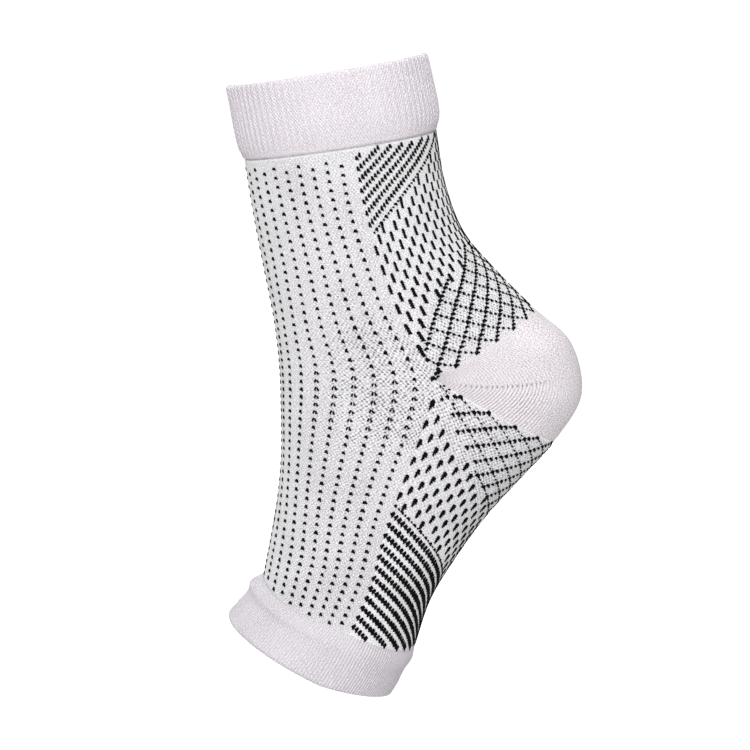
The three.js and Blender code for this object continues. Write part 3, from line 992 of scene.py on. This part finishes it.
# %% Finishes of the four cloths
body_knit = knit_finish(
    "body_knit",
    yarn=(1.0, 0.98, 1.0),
    shade=(0.24, 0.23, 0.26),
    waves={"Wales": 2.0, "Pearl": 1.0, "Rib": 0.1, "Jitter": 0.8, "Peak": 2.6},
    bump_depth=0.26 * MM,
    gap_share=0.46,
    fuzz=2.3,
    sheen=0.9,
    marks="specks",
)
heel_knit = knit_finish(
    "heel_knit",
    yarn=(0.96, 0.905, 0.945),
    shade=(0.30, 0.27, 0.30),
    waves={"Pearl": 0.3, "Rib": 1.1, "Jitter": 0.25, "Peak": 0.45},
    bump_depth=0.25 * MM,
    gap_share=0.64,
    fuzz=3.2,
    sheen=0.05,
    marks="holes",
)
leg_cuff_knit = knit_finish(
    "leg_cuff_knit",
    yarn=(0.965, 0.91, 0.965),
    shade=(0.28, 0.25, 0.28),
    waves={"Wales": 2.0, "Pearl": 1.0, "Rib": 0.1, "Jitter": 0.6, "Peak": 1.3},
    bump_depth=0.36 * MM,
    gap_share=0.38,
    fuzz=1.9,
    sheen=0.0,
)
toe_cuff_knit = knit_finish(
    "toe_cuff_knit",
    yarn=(0.77, 0.725, 0.775),
    shade=(0.28, 0.25, 0.29),
    waves={"Pearl": 0.4, "Rib": 0.8, "Jitter": 0.45, "Peak": 1.0},
    bump_depth=0.26 * MM,
    gap_share=0.36,
    fuzz=1.8,
    sheen=0.0,
)
print("knitted finishes:", [m.name for m in (body_knit, heel_knit, leg_cuff_knit, toe_cuff_knit)])

# %% [markdown]
# ## Real ribs
# Ribs catch the light along a whole cuff, so they are real relief and not only bump. One Geometry
# Nodes tree moves each point along its normal by a wave of the wale number that it carries, more or
# less by the relief that it carries. A slow noise keeps the cloth from looking turned on a lathe. Each
# cloth sets its own depth of rib.

# %% A tree that raises ribs
ribs, ribs_in, ribs_out = new_tree(
    "knit_relief",
    "GeometryNodeTree",
    [
        ("Geometry", GEOMETRY, None),
        ("Rib depth", FLOAT, 0.1 * MM),
        ("Rib pitch", FLOAT, 1.0),
        ("Slack", FLOAT, 0.4 * MM),
        ("Slack size", FLOAT, 45.0),
        ("Seed", FLOAT, 3.0),
        ("Finish", "NodeSocketMaterial", None),
    ],
    [("Geometry", GEOMETRY)],
)


def carried(tree, label, kind="FLOAT"):
    """An attribute that the points carry."""
    reader = add_node(tree, "GeometryNodeInputNamedAttribute", {"Name": label}, data_type=kind)
    return reader.outputs[0]


def close_tree(tree, geometry, material, out):
    """The end of both trees: real meshes, with their finish."""
    real = add_node(tree, "GeometryNodeRealizeInstances", {0: geometry})
    ending = {"Geometry": real.outputs[0], "Material": material}
    feed(tree, out, {0: add_node(tree, "GeometryNodeSetMaterial", ending).outputs[0]})


rib_place = maths(ribs, "ADD", carried(ribs, "wale"), 0.5)
rib_turn = maths(ribs, "DIVIDE", rib_place, ribs_in["Rib pitch"])
rib_ridge = maths(ribs, "COSINE", maths(ribs, "MULTIPLY", rib_turn, 2 * math.pi))
raised = maths(ribs, "MULTIPLY", rib_ridge, ribs_in["Rib depth"])
raised = maths(ribs, "MULTIPLY", raised, maths(ribs, "MULTIPLY", carried(ribs, "relief"), 0.5))
position = add_node(ribs, "GeometryNodeInputPosition").outputs[0]
slack = {"Vector": position, "W": ribs_in["Seed"], "Scale": ribs_in["Slack size"]}
slack = add_node(ribs, "ShaderNodeTexNoise", slack, noise_dimensions="4D").outputs[0]
slack = maths(ribs, "MULTIPLY", maths(ribs, "SUBTRACT", slack, 0.5), ribs_in["Slack"])
normal = add_node(ribs, "GeometryNodeInputNormal").outputs[0]
lift = vector_maths(ribs, "SCALE", {0: normal, "Scale": maths(ribs, "ADD", raised, slack)})
moved = add_node(ribs, "GeometryNodeSetPosition", {"Geometry": ribs_in["Geometry"], "Offset": lift})
close_tree(ribs, moved.outputs[0], ribs_in["Finish"], ribs_out)
print("relief tree nodes:", len(ribs.nodes))

# %% Run a tree and keep the mesh
def made_by(piece, tree, **values):
    """Runs a tree on a piece with these inputs and keeps the result as its plain mesh."""
    modifier = piece.modifiers.new(tree.name, "NODES")
    modifier.node_group = tree
    items = [item for item in tree.interface.items_tree if item.in_out == "INPUT"]
    sockets = {item.name: item.identifier for item in items}
    for label, value in values.items():
        modifier[sockets[label.replace("_", " ")]] = value
    depsgraph = bpy.context.evaluated_depsgraph_get()
    mesh = bpy.data.meshes.new_from_object(piece.evaluated_get(depsgraph), depsgraph=depsgraph)
    piece.modifiers.remove(modifier)
    old = piece.data
    piece.data = mesh
    mesh.name = piece.name
    bpy.data.meshes.remove(old)
    for label in ("wale", "course"):
        if label in mesh.attributes:
            mesh.attributes.remove(mesh.attributes[label])
    return piece


made_by(sleeve_cloth, ribs, Rib_depth=0.08 * MM, Finish=body_knit)
made_by(heel_cloth, ribs, Rib_depth=0.4 * MM, Finish=heel_knit)
made_by(leg_cuff, ribs, Rib_depth=0.55 * MM, Rib_pitch=7 / 3, Finish=leg_cuff_knit)
made_by(toe_cuff, ribs, Rib_depth=0.3 * MM, Finish=toe_cuff_knit)
knitted = (sleeve_cloth, heel_cloth, leg_cuff, toe_cuff)
print("triangles:", {piece.name: 2 * len(piece.data.polygons) for piece in knitted})

# %% [markdown]
# ## The pattern chart
# A knitter works a pattern from a chart, stitch by stitch, and so does this scene. Places are counted
# in wales from the side line, towards the back when positive, and in courses from the top seam. Each
# entry is wale, course, width, height and lean, with sizes in stitches and leans in radians. The instep
# has staggered dots, which split in two strokes where the ankle stretches the cloth.

# %% Chart the instep
ANKLE = (95.0, 122.0)  # courses where the stretched cloth splits its dots
SPLIT_COLUMNS = 6
DOT_COLUMNS = 10
DOT_STEP = 4.0  # wales and courses from one dot to the next
DOT_STARTS = (0.6, 2.6)  # the first course of even and of odd columns
DOT_LIMITS = (3.6, 215.2)
LAST_COURSE = 215.0  # the last one that has dark stitches
DOT_SHAPE = (0.96, 1.1)  # width and height of a dot beside those of a plain stitch
# how dots change along the instep: courses, then values there
DOT_SHIFTS = ((0, 150, 216), (0.35, 0.45, 0.9))
DOT_SIZES = ((0, 90, 150, 200), (1.04, 1.12, 1.2, 1.24))
DOT_LEANS = ((125, 165), (0.0, -0.3))
# the two strokes of a split dot: wale and course beside the dot, width, height, lean
STROKES = ((-0.3, 0.0, 0.56, 1.55, 0.45), (0.36, 0.15, 0.56, 1.45, -0.5))


def instep_chart():
    """Single dark stitches, every fourth wale and course, staggered from column to column."""
    chart = []
    for k in range(1, DOT_COLUMNS + 1):
        wale = -DOT_STEP * k
        for at_side in np.arange(DOT_STARTS[k % 2], LAST_COURSE, DOT_STEP):
            course = at_side + np.interp(at_side, *DOT_SHIFTS) + instep_drop(-wale, at_side)
            size = np.interp(at_side, *DOT_SIZES)
            lean = np.interp(at_side, *DOT_LEANS)
            if ANKLE[0] < at_side < ANKLE[1] and k <= SPLIT_COLUMNS:
                chart += [(wale + across, course + down, *mark) for across, down, *mark in STROKES]
            elif DOT_LIMITS[0] < course < DOT_LIMITS[1]:
                chart.append((wale, course, size * DOT_SHAPE[0], size * DOT_SHAPE[1], lean))
    return np.array(chart)


instep = instep_chart()
print("dark stitches on one side of the instep:", len(instep))

# %% [markdown]
# Behind the side line the leg starts with diagonal stripes under the cuff. Below a thin dotted line
# come staggered dashes of four stacked stitches, and above the heel a diamond lattice of single
# stitches. Each area stops at a sloping border that is itself a line on the chart.

# %% Dots, dashes and lattices
DASH_STITCHES = 4
DASH_ROW = 0.98  # courses from one stitch of a dash to the next
DOTS = ((1.1, 1.1), (0.7, 0.7))  # a dotted line alternates two sizes
DOT_LEAN = 0.3


def dotted(line, first, end):
    """A line of dots along a border, one a wale."""
    return [(wale, line(wale), *DOTS[int(wale) % 2], DOT_LEAN) for wale in np.arange(first, end, 1.0)]


def dash_places(columns, wale_step, starts, course_step, rows):
    """The middles of dashes, staggered from column to column."""
    for k in range(columns):
        for course in starts[k % 2] + course_step * np.arange(*rows):
            yield wale_step * k, course


def stacked(wale, course, width, height):
    """The stitches of a dash, one above the other and centred on a course."""
    rows = [i - (DASH_STITCHES - 1) / 2 for i in range(DASH_STITCHES)]
    return [(wale, course + row * DASH_ROW, width, height, 0.0) for row in rows]


def lattice(start, step, columns, rows, marks_of):
    """Crossing diagonals of single stitches; marks_of gives the sizes of a crossing and of both lines."""
    crossing, rising, falling = marks_of
    marks = []
    for i in range(*columns):
        for j in range(*rows):
            if (i + j) % 2:
                continue
            wale, course = start[0] + i * step[0], start[1] + j * step[1]
            marks.append((wale, course, *crossing))
            for third, up_size, down_size in zip((1 / 3, 2 / 3), rising, falling):
                across = wale + third * step[0]
                marks.append((across, course - third * step[1], *up_size))
                marks.append((across, course + third * step[1], *down_size))
    return marks


print("stitches of a dash:", DASH_STITCHES)

# %% Measures of the leg's pattern
LEG_STRIPES = 7
LEG_STRIPE_STEP = 4.8
LEG_STRIPE_RISE = 1.13  # courses a wale
LEG_STRIPE_MARK = (0.88, 1.76, -0.12)  # width, height and lean, as for every mark
LEG_STRIPE_START = 0.3
FIRST_STRIPE_END = 2.3  # the seam cuts the first stripe short
SEAM_CLEAR = 1.2
LEG_LINE = (37.6, 1.07)
LEG_LINE_WALES = (1.0, 36.0)
LEG_DASHES = {
    "columns": 22,
    "wale_step": 2.0,
    "starts": (35.4, 39.5),
    "course_step": 8.2,
    "rows": (-5, 8),
}
LEG_DASH_WIDTHS = ((55, 80), (0.9, 1.2))  # courses, then widths there
LEG_DASH_HEIGHT = 1.04
LEG_DASH_CLEAR = (2, 0.4, 1.0)  # half a dash, what it may cross the line by, and its space below
LEG_CROSSING = (2.5, 92.0)  # wale and course
LEG_DIAMOND = (3.07, 4.12)  # half a diamond
LEG_SPREAD = ((-1, 14), (-16, 2))  # columns and rows of crossings
LEG_CORNER = 1.0  # wales from the side line that the knots take up
LEG_SKEW = 0.27  # the last rows lean away from the side line
LEG_HEEL_END = HEEL_COURSE + 0.3
# the mark at a crossing, then the two marks on each line after it
LEG_LATTICE = (
    (1.3, 1.4, -0.45),
    ((1.32, 1.15, -0.2), (1.15, 0.95, -0.2)),
    ((0.86, 1.05, 0.0), (0.7, 0.95, 0.0)),
)
# the knots where all areas meet at the side: wale, course, width, height, lean
LEG_KNOTS = [
    (0.1, 95.9, 1.7, 1.8, 0.0),
    (2.1, 94.7, 1.2, 1.4, -0.3),
    (1.4, 96.2, 1.1, 0.7, -0.3),
    (0.4, 88.7, 1.2, 1.5, -0.3),
    (0.0, 86.6, 0.9, 1.8, -0.4),
]
print("knots at the upper corner of the heel:", len(LEG_KNOTS))

# %% Stripes, dashes and lattice of the leg
def leg_line(wale):
    return LEG_LINE[0] - LEG_LINE[1] * wale


def leg_chart():
    chart = []
    for k in range(LEG_STRIPES):
        for wale in np.arange(LEG_STRIPE_START, LEG_WALES if k else FIRST_STRIPE_END, 1.0):
            course = LEG_STRIPE_STEP + LEG_STRIPE_STEP * k - LEG_STRIPE_RISE * wale
            if course > SEAM_CLEAR:
                chart.append((wale, course, *LEG_STRIPE_MARK))
    chart += dotted(leg_line, *LEG_LINE_WALES)
    half, over, below = LEG_DASH_CLEAR
    for wale, course in dash_places(**LEG_DASHES):
        if course - half > leg_line(wale) - over and course + below < leg_lattice_top(wale):
            chart += stacked(wale, course, np.interp(course, *LEG_DASH_WIDTHS), LEG_DASH_HEIGHT)
    for wale, course, *mark in lattice(LEG_CROSSING, LEG_DIAMOND, *LEG_SPREAD, LEG_LATTICE):
        wale += LEG_SKEW * max(course - LEG_CROSSING[1], 0.0)
        if leg_lattice_top(wale) < course < LEG_HEEL_END and LEG_CORNER <= wale <= LEG_WALES:
            chart.append((wale, course, *mark))
    return np.array(chart + LEG_KNOTS)


leg = leg_chart()
print("dark stitches on one side of the leg:", len(leg))

# %% [markdown]
# Under the heel the same three areas come in the other order: lattice, dashes, a dotted line, and
# then bold stripes that curve down to the toe seam. There are fewer wales here, because the sole is
# narrower than the leg is round.

# %% Measures of the sole's pattern
FOOT_LINE = (152.2, 0.696, 0.0137)
FOOT_STRIPES = 12
FOOT_STRIPE_STEP = 5.02
FOOT_STRIPE_FIRST = 4.0  # courses below the dotted line
FOOT_STRIPE_MARK = (1.12, 2.12, 0.45)
FOOT_DASHES = {
    "columns": 19,
    "wale_step": 1.9,
    "starts": (115.0, 119.0),
    "course_step": 8.15,
    "rows": (-3, 10),
}
FOOT_DASH_HEIGHT = 1.05
FOOT_DASH_CLEAR = (2, 1.4)  # space above a dash's middle, and below it
# the four stitches of a dash under the foot: wale shift, width
FOOT_DASH = ((0.15, 1.15), (0.12, 1.25), (-0.04, 0.85), (-0.15, 0.6))
FOOT_CROSSING = (11.93, 112.4)
FOOT_DIAMOND = (3.08, 4.08)
FOOT_SPREAD = ((-4, 9), (-4, 12))
FOOT_CLOSING = (0.25, 100.0)  # above this course the lattice closes up by this share
FOOT_HEEL_END = HEEL_COURSE + 0.6
FOOT_CORNER = 4.5
FOOT_LATTICE = (
    (1.5, 1.42, 0.0),
    ((1.38, 1.27, 0.0), (1.12, 1.06, 0.0)),
    ((0.9, 0.66, 0.0), (0.8, 0.6, 0.0)),
)
FOOT_KNOTS = [
    (0.2, 105.5, 1.4, 1.8, 0.0),
    (1.9, 102.2, 1.0, 1.2, 0.0),
    (3.0, 100.0, 1.3, 1.5, 0.0),
    (4.4, 98.2, 0.9, 1.1, 0.0),
    (4.3, 101.5, 0.8, 0.9, 0.0),
    (1.5, 97.2, 1.0, 0.6, 0.5),
    (2.3, 96.2, 0.7, 0.6, -0.4),
    (2.0, 97.6, 0.55, 0.55, 0.0),
    (3.4, 96.4, 0.7, 0.7, -0.4),
    (2.7, 98.0, 0.6, 0.8, 0.0),
]
print("knots at the lower corner of the heel:", len(FOOT_KNOTS))

# %% Chart the sole
def foot_line(wale):
    start, slope, bend = FOOT_LINE
    return start + slope * wale + bend * wale**2


def foot_chart():
    chart = list(FOOT_KNOTS)
    share, from_course = FOOT_CLOSING
    for wale, course, *mark in lattice(FOOT_CROSSING, FOOT_DIAMOND, *FOOT_SPREAD, FOOT_LATTICE):
        course += share * max(from_course - course, 0.0)
        if FOOT_HEEL_END < course < foot_lattice_end(wale) and FOOT_CORNER <= wale <= FOOT_WALES:
            chart.append((wale, course, *mark))
    above, below = FOOT_DASH_CLEAR
    for wale, course in dash_places(**FOOT_DASHES):
        if course - above > foot_lattice_end(wale) and course + below < foot_line(wale):
            rows = stacked(wale, course, 1.0, FOOT_DASH_HEIGHT)
            for (at, row, _, *rest), (shift, width) in zip(rows, FOOT_DASH):
                chart.append((at + shift, row, width, *rest))
    chart += dotted(foot_line, 0.0, FOOT_WALES)
    for k in range(FOOT_STRIPES):
        for wale in np.arange(0.0, FOOT_WALES + 1):
            course = foot_line(wale) + FOOT_STRIPE_FIRST + FOOT_STRIPE_STEP * k
            if course < LAST_COURSE:
                chart.append((wale, course, *FOOT_STRIPE_MARK))
    return np.array(chart)


foot = foot_chart()
print("dark stitches on one side of the sole:", len(foot))

# %% [markdown]
# ## Setting the stitches on the cloth
# A stitch needs a place, an outward direction and an upward one. All three are read from the body's
# own grids between their points, so that every stitch lies on the cloth, and its size follows the
# local wale and course. The chart is used on both sides of the sleeve.

# %% Places on the cloth
STITCH_WALE = 1.2 * MM
STITCH_COURSE = 0.92 * MM
SIZE_RANGE = (0.9, 1.15)


def on_cloth(points, out, column, row):
    """Places on a grid between its points, with out, up and the local size of a stitch."""
    i = np.clip(row.astype(int), 0, points.shape[0] - 2)
    j = np.clip(column.astype(int), 0, points.shape[1] - 2)
    t, s = (row - i)[:, None], (column - j)[:, None]

    def between(grid):
        upper = grid[i, j] * (1 - s) + grid[i, j + 1] * s
        lower = grid[i + 1, j] * (1 - s) + grid[i + 1, j + 1] * s
        return upper * (1 - t) + lower * t, lower - upper

    place, down = between(points)
    outward = unit(between(out)[0])
    across = points[i, j + 1] - points[i, j]
    up = unit(np.cross(outward, across))
    up = up * np.where((up * down).sum(axis=-1) > 0, -1, 1)[:, None]
    wale = np.linalg.norm(across, axis=-1) * POINTS_A_WALE
    course = np.linalg.norm(down, axis=-1)
    return place, outward, up, wale / STITCH_WALE, course / STITCH_COURSE


def both_sides(chart, points, out, behind, first_row=0):
    """A chart on the near side and the far side of a part, ahead of the side line or behind it."""
    column = POINTS_A_WALE * (chart[:, 0] if behind else -chart[:, 0])
    mirrored = points.shape[1] - 1 - column
    sides = []
    for sense, at in zip((-1, 1), (mirrored, column) if behind else (column, mirrored)):
        place, outward, up, wide, tall = on_cloth(points, out, at, chart[:, 1] - first_row)
        wide, tall = np.clip(wide, *SIZE_RANGE), np.clip(tall, *SIZE_RANGE)
        size = np.stack([chart[:, 2] * wide, chart[:, 3] * tall, np.ones(len(chart))], axis=-1)
        sides.append(np.concatenate([place, outward, up, size, sense * chart[:, 4:5]], axis=-1))
    return np.concatenate(sides)


front_stitches = both_sides(instep, front_points, front_out, behind=False)
leg_stitches = both_sides(leg, leg_points, leg_out, behind=True)
foot_stitches = both_sides(foot, foot_points, foot_out, behind=True, first_row=HEEL_COURSE)
back_stitches = np.concatenate([leg_stitches, foot_stitches])
print("dark stitches in all:", len(front_stitches) + len(back_stitches))

# %% [markdown]
# ## One dark stitch, thousands of times
# The visible part of a stitch is a caret of yarn, lying flat on the cloth. The tree bends one short
# curve, gives it a section of four sides that thins out past the peak, and sets a copy on every point
# of the chart, with its lean and a little random turn. Four sides are enough, because a stitch is about
# a millimetre wide.

# %% A tree that sets stitches
# the ends and the middle of the caret, in half widths and half heights
CARET = {"Start": (-0.8, -0.75), "Middle": (-0.4, 3.0), "End": (1.25, -1.3)}
YARN_SIDES = 4
VECTORS = "FLOAT_VECTOR"

stitching, yarn_in, stitching_out = new_tree(
    "dark_stitching",
    "GeometryNodeTree",
    [
        ("Geometry", GEOMETRY, None),
        ("Stitch width", FLOAT, 0.86 * MM),
        ("Stitch height", FLOAT, 0.82 * MM),
        ("Yarn radius", FLOAT, 0.55 * MM),
        ("Flatness", FLOAT, 0.5),
        ("Taper", FLOAT, 0.9),
        ("Turn", FLOAT, 0.12),
        ("Seed", "NodeSocketInt", 4),
        ("Finish", "NodeSocketMaterial", None),
    ],
    [("Geometry", GEOMETRY)],
)
half_width = maths(stitching, "MULTIPLY", yarn_in["Stitch width"], 0.5)
half_height = maths(stitching, "MULTIPLY", yarn_in["Stitch height"], 0.5)
caret = add_node(stitching, "GeometryNodeCurveQuadraticBezier", {"Resolution": 2})
for label, (across, upward) in CARET.items():
    x = maths(stitching, "MULTIPLY", half_width, across)
    y = maths(stitching, "MULTIPLY", half_height, upward)
    feed(stitching, caret, {label: joined(stitching, x, y)})
section = {"Resolution": YARN_SIDES, "Radius": yarn_in["Yarn radius"]}
section = add_node(stitching, "GeometryNodeCurvePrimitiveCircle", section, mode="RADIUS")
section = {"Geometry": section.outputs["Curve"], "Rotation": (0.0, 0.0, math.pi / 4)}
section = add_node(stitching, "GeometryNodeTransform", section)
along = add_node(stitching, "GeometryNodeSplineParameter").outputs["Factor"]
past_peak = maths(stitching, "SUBTRACT", along, 0.5, clamp=True)
thinner = maths(stitching, "MULTIPLY", past_peak, yarn_in["Taper"])
yarn = {
    "Curve": caret.outputs[0],
    "Profile Curve": section.outputs[0],
    "Scale": maths(stitching, "SUBTRACT", 1.0, thinner),
    "Fill Caps": True,
}
yarn = add_node(stitching, "GeometryNodeCurveToMesh", yarn)
pressed = {"Geometry": yarn.outputs[0], "Scale": joined(stitching, 1.0, 1.0, yarn_in["Flatness"])}
pressed = add_node(stitching, "GeometryNodeTransform", pressed)
print("nodes of one stitch:", len(stitching.nodes))

# %% Copies on the chart
axes = {
    "Primary Axis": carried(stitching, "out", VECTORS),
    "Secondary Axis": carried(stitching, "up", VECTORS),
}
facing = add_node(stitching, "FunctionNodeAxesToRotation", axes, primary_axis="Z", secondary_axis="Y")
least_turn = maths(stitching, "MULTIPLY", yarn_in["Turn"], -1.0)
chance = {2: least_turn, 3: yarn_in["Turn"], "Seed": yarn_in["Seed"]}
chance = add_node(stitching, "FunctionNodeRandomValue", chance, data_type="FLOAT")
lean_turn = maths(stitching, "ADD", chance.outputs[1], carried(stitching, "lean"))
turn = add_node(stitching, "FunctionNodeEulerToRotation", {0: joined(stitching, 0.0, 0.0, lean_turn)})
turns = {0: facing.outputs[0], 1: turn.outputs[0]}
turned = add_node(stitching, "FunctionNodeRotateRotation", turns, rotation_space="LOCAL")
copies = {
    "Points": yarn_in["Geometry"],
    "Instance": pressed.outputs[0],
    "Rotation": turned.outputs[0],
    "Scale": carried(stitching, "size", VECTORS),
}
copies = add_node(stitching, "GeometryNodeInstanceOnPoints", copies)
smooth = add_node(stitching, "GeometryNodeSetShadeSmooth", {0: copies.outputs[0]})
close_tree(stitching, smooth.outputs[0], yarn_in["Finish"], stitching_out)
print("stitching tree nodes:", len(stitching.nodes))

# %% [markdown]
# ## The dark yarn
# The dark yarn is a matt black filament. It is never quite one black: fibres catch a little light, and
# the tone drifts along the cloth. Noise on Object coordinates gives both, and a fine bump gives the
# strands.

# %% Finish of the dark yarn
STRAND_SCALE = 2600.0
STRAND_DEPTH = 0.08 * MM
# places on the ramp, and the tones there
DARK_TONES = ((0.35, (0.0015, 0.0015, 0.002, 1.0)), (0.75, (0.008, 0.008, 0.01, 1.0)))
DARK_ROUGH = (0.2, 0.72)

dark_yarn = bpy.data.materials.new("dark_yarn")
dark_yarn.use_nodes = True
dark_tree = dark_yarn.node_tree
dark_place = add_node(dark_tree, "ShaderNodeTexCoord").outputs["Object"]
strands = {"Vector": dark_place, "Scale": STRAND_SCALE, "Detail": 2.0}
strands = add_node(dark_tree, "ShaderNodeTexNoise", strands).outputs[0]
dark_ramp = add_node(dark_tree, "ShaderNodeValToRGB", {0: strands})
for stop, (place, tone) in zip(dark_ramp.color_ramp.elements, DARK_TONES):
    stop.position = place
    stop.color = tone
dark_bump = {"Strength": 0.5, "Distance": STRAND_DEPTH, "Height": strands}
dark_looks = {
    "Base Color": dark_ramp.outputs[0],
    "Roughness": maths(dark_tree, "MULTIPLY_ADD", strands, *DARK_ROUGH),
    "Normal": add_node(dark_tree, "ShaderNodeBump", dark_bump).outputs[0],
    "Specular IOR Level": 0.06,
}
feed(dark_tree, dark_tree.nodes["Principled BSDF"], dark_looks)
print("dark yarn nodes:", len(dark_tree.nodes))

# %% Knit in the dark stitches
STITCH_LIFT = 0.12 * MM
SIZE_SPREAD = 0.14
INSTEP_SEED = 4
PANEL_SEED = 9


def stitch_piece(name, stitches, seed):
    """A cloud of points with out, up, size and lean, turned into dark stitches."""
    mesh = bpy.data.meshes.new(name)
    draw = np.random.default_rng(seed)
    stitches[:, 9:11] *= draw.uniform(1 - SIZE_SPREAD, 1 + SIZE_SPREAD, (len(stitches), 2))
    mesh.from_pydata((stitches[:, 0:3] + stitches[:, 3:6] * STITCH_LIFT).tolist(), [], [])
    for label, first in (("out", 3), ("up", 6), ("size", 9)):
        values = mesh.attributes.new(label, "FLOAT_VECTOR", "POINT")
        values.data.foreach_set("vector", stitches[:, first:first + 3].astype(np.float32).ravel())
    leans = mesh.attributes.new("lean", "FLOAT", "POINT")
    leans.data.foreach_set("value", stitches[:, 12].astype(np.float32))
    piece = bpy.data.objects.new(name, mesh)
    scene.collection.objects.link(piece)
    made_by(piece, stitching, Seed=seed, Finish=dark_yarn)
    for label in ("out", "up", "size", "lean"):
        if label in piece.data.attributes:
            piece.data.attributes.remove(piece.data.attributes[label])
    return piece


instep_stitches = stitch_piece("instep_stitches", front_stitches, INSTEP_SEED)
panel_stitches = stitch_piece("panel_stitches", back_stitches, PANEL_SEED)
for piece in (instep_stitches, panel_stitches):
    piece.data.calc_loop_triangles()
    print(piece.name, "triangles:", len(piece.data.loop_triangles))

# %% [markdown]
# ## Back to the imported model
# Each cloth stands for one solid of the imported model, which is then hidden. The sleeve is one body,
# so all pieces ride on the root.

# %% Attach each piece to the root and hide the solid it stands for
cloths = (
    (leg_cuff, "top_cuff", "cuff_knit"),
    (sleeve_cloth, "sleeve_body", "pattern_knit"),
    (heel_cloth, "heel_pocket", "heel_knit"),
    (toe_cuff, "toe_cuff", "cuff_knit"),
    (instep_stitches, None, "dark_yarn"),
    (panel_stitches, None, "dark_yarn"),
)
for piece, node, slot in cloths:
    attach(piece, "root")
    if node:
        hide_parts(node)
